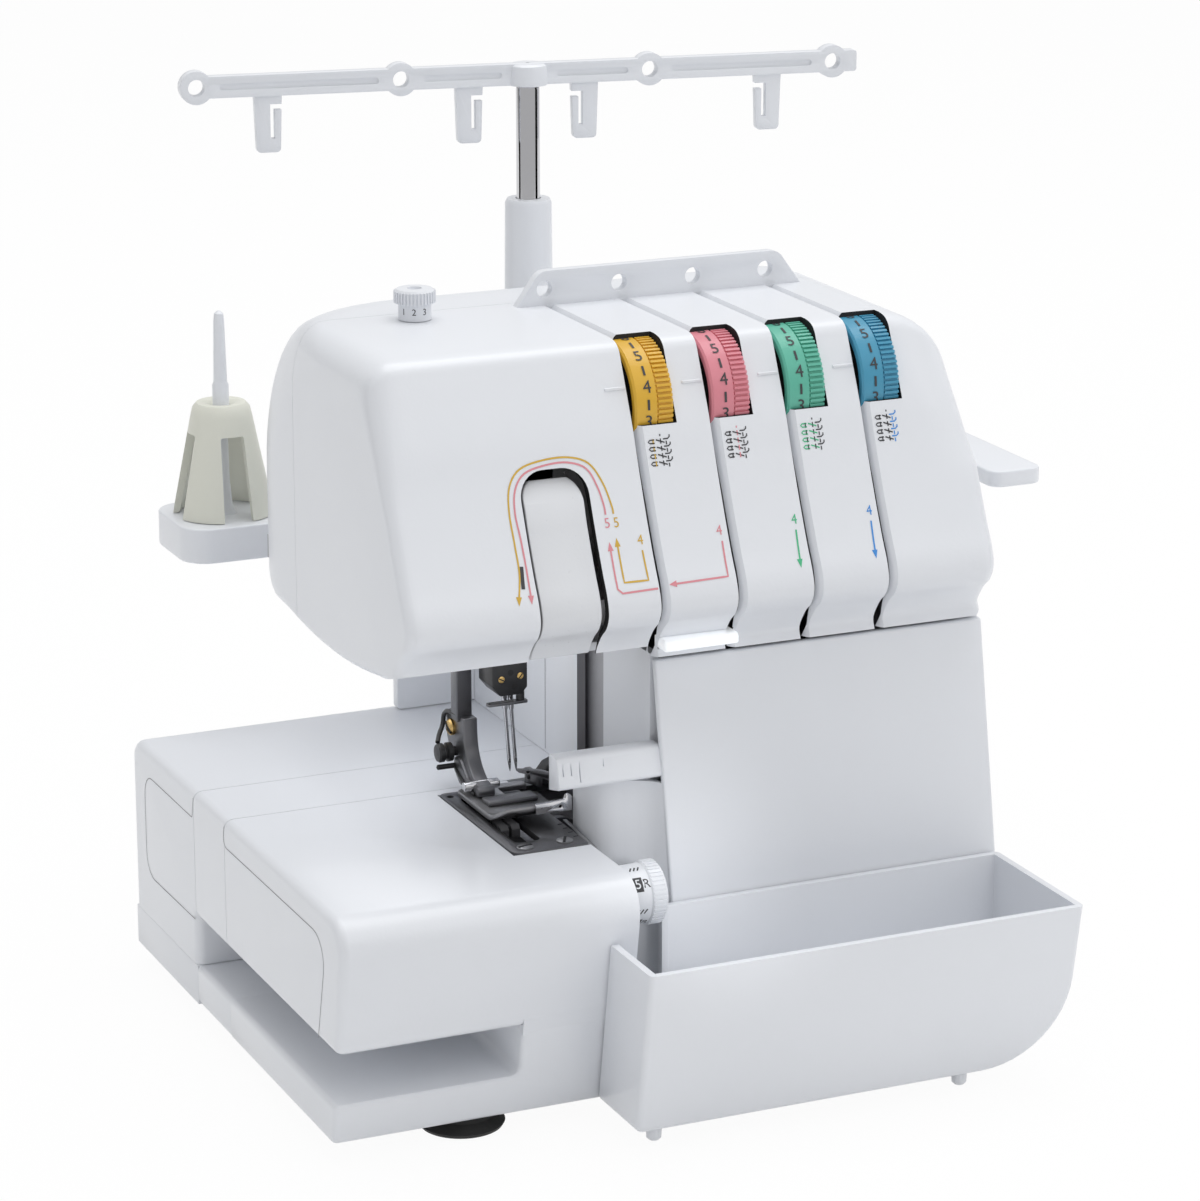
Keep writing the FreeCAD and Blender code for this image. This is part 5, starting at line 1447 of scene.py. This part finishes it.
    def _handwheel(self) -> None:
        """The handwheel with a ribbed rim, a dished face and a turning arrow."""
        (y, z), rim = self.wheel, self.wheel_radius
        body = [(5.1, 73.0), (24, 73.0), (27, 74), (rim, 75), (rim, 90), (26, 92.2), (21, 92.6), (19.5, 90.4),
                (8, 89.6), (7, 92.0), (0.5, 92.4)]
        parts = [Bench.turned("wheel", Axis.X, (y, z), body, WHITE, 120)]
        parts.append(Ribs.ring("rim", Axis.X, (y, z), rim, 76, 89, 64, 1.0, WHITE, 0.5))
        reach, start, point = self.arrow_radius, 0.5, 0.28
        lay = self._face(90.16, y, z)
        parts.append(Draw.stroke("arrow", Draw.arc((0, 0), reach, start, 1.54, 13), 1.1, lay, INK))
        tip = [lay(r * math.cos(a), r * math.sin(a)) for r,
               a in ((reach, point), (reach + 2.2, start), (reach - 2.2, start))]
        parts.append(Bench.piece("arrow_tip", tip, [(0, 1, 2)], INK))
        Bench.assemble("balance_wheel", parts, "drive_shaft", WHITE, "handwheel")

    def _power(self) -> None:
        """The rocker switch with its on and off marks, and the two-pin inlet."""
        y, z = self.rocker
        shape = Draw.rounded([(70.3, z - 9.7, 0.4), (75.4, z - 9.7, 0.8), (73.2, z, 6), (75.4, z + 9.7, 0.8),
                              (70.3, z + 9.7, 0.4)], 6)
        rocker = Bench.prism("rocker", shape, Axis.Y, y - 7.8, y + 7.8, BLACK)
        parts = [Bench.soften(rocker, 0.5)]

        def lay(u: float, v: float) -> Spot:
            """A mark's point on the rocker's two leaning faces."""
            return (73.3 + abs(v) * 0.235, y + u, z + v)

        parts.append(Draw.stroke("on", [(-2.5, 5.5), (2.5, 5.5)], 0.9, lay, WHITE))
        parts.append(Draw.stroke("off", Draw.arc((0, -5), 2.2, 0, math.tau, 20), 0.7, lay, WHITE))
        Bench.assemble("power_rocker", parts, "power_switch", BLACK, "power_switch")
        y, z = self.inlet
        outer = Draw.rectangle((y - 12, z - 10), (y + 12, z + 10), 3, 5)
        socket = Bench.prism("socket", outer, Axis.X, 58.4, 72.3, BLACK)
        inner = Draw.rectangle((y - 9, z - 7), (y + 9, z + 7), 5, 6)
        Bench.carve(socket, Bench.prism("socket_well", inner, Axis.X, 61, 80, BLACK))
        pins = [Bench.turned("pin", Axis.X, (y + side, z), [(1.2, 60), (1.2, 69.6), (0.6, 70.2)], CHROME, 20)
                for side in (-4, 4)]
        Bench.assemble("power_socket", [Bench.soften(socket, 0.4), *pins], "machine", BLACK, "power_inlet")


@dataclass
class Covers:
    """The column's panel, the right and rear covers with their vents and screws, and the lifter lever."""

    right: Point = (69.2, 72.2)
    rear: Point = (82.0, 86.0)
    low: float = 21.4
    high: float = 140.6
    pivot: Point = Head.pivot
    column: float = -46.5
    opening: tuple[float, ...] = (-29.6, 84.5, -8.2, 150.0)

    def build(self) -> None:
        """Make the covers and the lever."""
        self._column()
        self._right()
        self._rear()
        self._lever()

    def _column(self) -> None:
        """The column's left panel, with its parting line, the opening for the knife's arm, and painted shade: dark grey
        walls in the opening and a dark grey sheet behind it.
        """
        edge, low, high = self.column, 82.6, self.high + 0.3
        panel = Bench.block("panel", (edge, -65.8, low), (edge + 3, 81.6, high), WHITE)
        front, sill, back, top = self.opening
        # the opening's cut walls take the dark grey finish as painted shade
        Bench.carve(panel, Bench.block("opening", (edge - 2, front, sill), (edge + 5, back, top), SEAM_AND_SHADE))
        line = Draw.stroke("line", [(18.6, low + 1), (18.6, high)], 0.4, lambda u, v: (edge - PRINT_LIFT, u, v), SEAM_AND_SHADE)
        # painted shade: a dark grey sheet behind the opening, where there is only shade
        painted_shade_sheet = Bench.block("painted_shade_sheet", (edge + 5.6, front - 3, low + 2), (edge + 6.6, back + 22, high), SEAM_AND_SHADE, 0.3)
        Bench.assemble("column_side", [panel, line, painted_shade_sheet], "machine", WHITE, "column_panel")

    def _right(self) -> None:
        """The right cover, open for the shaft, dials, rocker and inlet."""
        low, high = self.right
        plan = Draw.rounded([(-66, self.low, 1), (86, self.low, 4), (86, self.high, 4), (-66, self.high, 1)], 5)
        panel = Bench.prism("panel", plan, Axis.X, low, high, WHITE)
        holes = [(Controls.wheel, 6), *(((y, Controls.side_height), 3.05) for _, y in Controls.side_dials)]
        cuts = [Bench.turned("hole", Axis.X, spot, [(r, low - 5), (r, high + 5)], SHADE, 40) for spot, r in holes]
        for (y, z), half, rise in ((Controls.rocker, 8.5, 10.5), (Controls.inlet, 12.4, 10.4)):
            shape = Draw.rectangle((y - half, z - rise), (y + half, z + rise), 1.5)
            cuts.append(Bench.prism("opening", shape, Axis.X, low - 5, high + 5, SHADE))
        for y in (8 + k * 6.5 for k in range(9)):
            vent = Draw.rectangle((y, 124), (y + 2.4, 135), 1.1)
            cuts.append(Bench.prism("vent", vent, Axis.X, low - 5, high + 5, SHADE))
        parts = [Bench.soften(Bench.carve(panel, *cuts), 0.6)]
        for y, z in ((-60, 27), (-60, 134), (80, 27), (80, 134)):
            parts += NeedleWorks.screw(Axis.X, (y, z), high - 0.2, 0.9, 2.6, STEEL, 0.7)
        Bench.assemble("right_panel", parts, "machine", WHITE, "right_cover")

    def _rear(self) -> None:
        """The rear cover of the column, with two rows of vents."""
        low, high = self.rear
        plan = Draw.rounded([(-75.6, 82.9, 1), (-46.1, 82.9, 1), (-46.1, self.low, 2), (68.8, self.low, 2),
                             (68.8, self.high, 2), (-75.6, self.high, 2)], 5)
        panel = Bench.prism("panel", plan, Axis.Y, low, high, WHITE)
        cuts = []
        for x in (-26 + k * 6.4 for k in range(12)):
            for z in (60, 104):
                vent = Draw.rectangle((x, z), (x + 2.6, z + 22), 1.2)
                cuts.append(Bench.prism("vent", vent, Axis.Y, low - 5, high + 5, SHADE))
        parts = [Bench.soften(Bench.carve(panel, *cuts), 0.6)]
        for x, z in ((-40, 28), (62, 28), (62, 132), (-69, 132), (-69, 89)):
            parts += NeedleWorks.screw(Axis.Y, (x, z), high - 0.2, 0.9, 2.6, STEEL, 0.9)
        Bench.assemble("rear_panel", parts, "machine", WHITE, "rear_cover")

    def _lever(self) -> None:
        """The presser lifter: a moulded lever with a hub and a turned-down finger tip."""
        y, z = self.pivot
        shape = Draw.smooth_line([(y - 3.3, z - 0.6), (y - 2, z + 2.8), (y + 2, z + 2.8), (y + 5, z + 0.4),
                                  (y + 26, z - 1.0), (y + 40, z - 1.6), (y + 45.4, z - 3.6), (y + 45.6, z - 6.2),
                                  (y + 41, z - 6.6), (y + 26, z - 5.4), (y + 4, z - 5.0), (y - 2.6, z - 3.8),
                                  (y - 3.3, z - 0.6)], 4)[:-1]
        lever = Bench.prism("lever", shape, Axis.X, -92.9, -81.1, WHITE)
        Bench.carve(lever, Bench.turned("bore", Axis.X, self.pivot, [(2.05, -99), (2.05, -75)], WHITE, 32))
        Bench.fit(Bench.soften(lever, 1.0, 3), "presser_lifter", WHITE, "presser_lifter")


@dataclass(frozen=True)
class Lamp:
    """A square soft lamp, or a spot that reflections don't show when it has a cone.

    The size is the square's side or the spot's radius in millimetres, and the cone is in degrees.
    """

    name: str
    place: Spot
    aim: Spot
    size: float
    watts: float
    cone: float = 0.0

    def build(self) -> None:
        """Hang the lamp and turn it to what it lights."""
        lamp = bpy.data.lights.new(self.name, "SPOT" if self.cone else "AREA")
        lamp.energy = self.watts
        light = Bench.show(self.name, lamp)
        if self.cone:
            lamp.spot_size, lamp.spot_blend = math.radians(self.cone), 0.9
            lamp.shadow_soft_size = self.size * MM
            light.visible_camera = light.visible_glossy = False
        else:
            lamp.size = self.size * MM
        light.location = Vector(self.place) * MM
        light.rotation_euler = (Vector(self.aim) - Vector(self.place)).to_track_quat("-Z", "Y").to_euler()


@dataclass
class Studio:
    """The camera at the photograph's place, the pale floor and the soft light."""

    eye: Spot = (-571.45, -1200.46, 521.92)
    tilt: Spot = (73.79, 0.0, -24.10)
    lens: float = 123.0
    floor_half: float = 9.0
    floor_glow: float = 0.95
    sky: Point = (0.58, 0.42)
    cards: tuple[tuple[Point, float], ...] = (((820.0, -260.0), 0.22), ((-840.0, 470.0), 0.16))
    lamps: tuple[Lamp, ...] = (Lamp("key", (300, -1500, 1700), (0, 0, 100), 1500, 4.5),
                               Lamp("top", (200, 300, 2200), (0, 0, 100), 1800, 25),
                               Lamp("right", (1800, -600, 900), (0, 0, 150), 1200, 5),
                               Lamp("sewing_lamp", (-90, 4, 139.6), (-86, 4, 80), 90, 0.036),
                               Lamp("throat_lamp", (-60, -300, 150), (-48, -62, 66), 30, 0.85, 17))

    def build(self) -> None:
        """Set the camera, floor, world and lamps."""
        scene = bpy.context.scene
        scene.view_settings.view_transform = "Standard"
        camera = bpy.data.cameras.new("camera")
        camera.lens, camera.sensor_width, camera.sensor_fit = self.lens, 36.0, "HORIZONTAL"
        camera.clip_end = 100
        scene.camera = Bench.show("camera", camera)
        scene.camera.location = Vector(self.eye) * MM
        scene.camera.rotation_euler = [math.radians(a) for a in self.tilt]
        self._floor()
        for place, half in self.cards:
            self._card(place, half)
        self._world()
        for lamp in self.lamps:
            lamp.build()

    def _floor(self) -> None:
        """A pale floor that keeps the machine's soft shadow."""
        recipe = Recipe("pale_floor")
        tree = recipe.tree
        matt = recipe.node("ShaderNodeBsdfDiffuse", Color=(0.9, 0.9, 0.9, 1))
        glow = recipe.node("ShaderNodeEmission", Color=(1, 1, 1, 1), Strength=1.0)
        ray = tree.nodes.new("ShaderNodeLightPath")
        seen = Value(tree, ray.outputs["Is Camera Ray"]) + Value(tree, ray.outputs["Is Glossy Ray"]) \
            + Value(tree, ray.outputs["Is Transmission Ray"])
        mixed = recipe.node("ShaderNodeMixShader", _0=seen * self.floor_glow, _1=matt, _2=glow)
        recipe.feed(tree.nodes["Material Output"].inputs["Surface"], mixed)
        tree.nodes.remove(recipe.shader)
        mesh = bpy.data.meshes.new("floor")
        half = self.floor_half
        mesh.from_pydata([(-half, -half, 0), (half, -half, 0), (half, half, 0), (-half, half, 0)], [], [(0, 1, 2, 3)])
        mesh.materials.append(recipe.material)
        floor = Bench.show("floor", mesh)

    @staticmethod
    def _card(place: Point, half: float) -> None:
        """A narrow dark card that only reflections see, so that chrome shows an edge."""
        recipe = Recipe("dark_card")
        recipe.shader.inputs["Base Color"].default_value = (0, 0, 0, 1)
        recipe.shader.inputs["Specular IOR Level"].default_value = 0.0
        x, y = place
        run, low, high = Vector((0.39, 0.92)) * half, 0.05, 0.8
        mesh = bpy.data.meshes.new("card")
        corners = [(x * MM + run.x * u, y * MM + run.y * u, z) for u, z in ((-1, low), (1, low), (1, high), (-1, high))]
        mesh.from_pydata(corners, [], [(0, 1, 2, 3)])
        mesh.materials.append(recipe.material)
        card = Bench.show("card", mesh)
        card.visible_camera = card.visible_diffuse = card.visible_shadow = False

    def _world(self) -> None:
        """Even white surroundings: soft light on the machine, and white where the camera sees them."""
        world = bpy.data.worlds.new("studio")
        world.use_nodes = True
        bpy.context.scene.world = world
        tree = world.node_tree
        back = tree.nodes["Background"]
        back.inputs["Color"].default_value = (1, 1, 1, 1)
        ray = tree.nodes.new("ShaderNodeLightPath")
        seen = Value(tree, ray.outputs["Is Camera Ray"]) + Value(tree, ray.outputs["Is Transmission Ray"])
        light, extra = self.sky
        strength = seen * extra + light
        tree.links.new(strength.socket, back.inputs["Strength"])


def dress_frame() -> None:
    """Give each CAD node that still shows its finish."""
    finishes = {"machine_frame": CASTING, "shaft_bearings": BRASS,
                "tension_bracket": STEEL, "tension_discs": CHROME,
                "needle_bar": CHROME, "pressure_leaf": STEEL, "looper_shaft": STEEL,
                "main_shaft": STEEL, "motor": ENAMEL, "motor_pulley": STEEL, "drive_belt": RUBBER}
    for node, finish in finishes.items():
        shown = bpy.data.objects.get(node)
        shown.data.materials.clear()
        shown.data.materials.append(finish.material())


def main() -> None:
    """Build the machine's looks, piece by piece."""
    logging.basicConfig(level=logging.INFO, format="%(message)s")
    Studio().build()
    head = Head()
    head.build()
    head.trim()
    head.prints()
    TensionDials().build()
    Bed().build()
    TrimBin().build()
    FrontCover().build()
    SpoolStand().build()
    NeedleWorks().build()
    Controls().build()
    Covers().build()
    dress_frame()


if __name__ == "__main__":
    main()
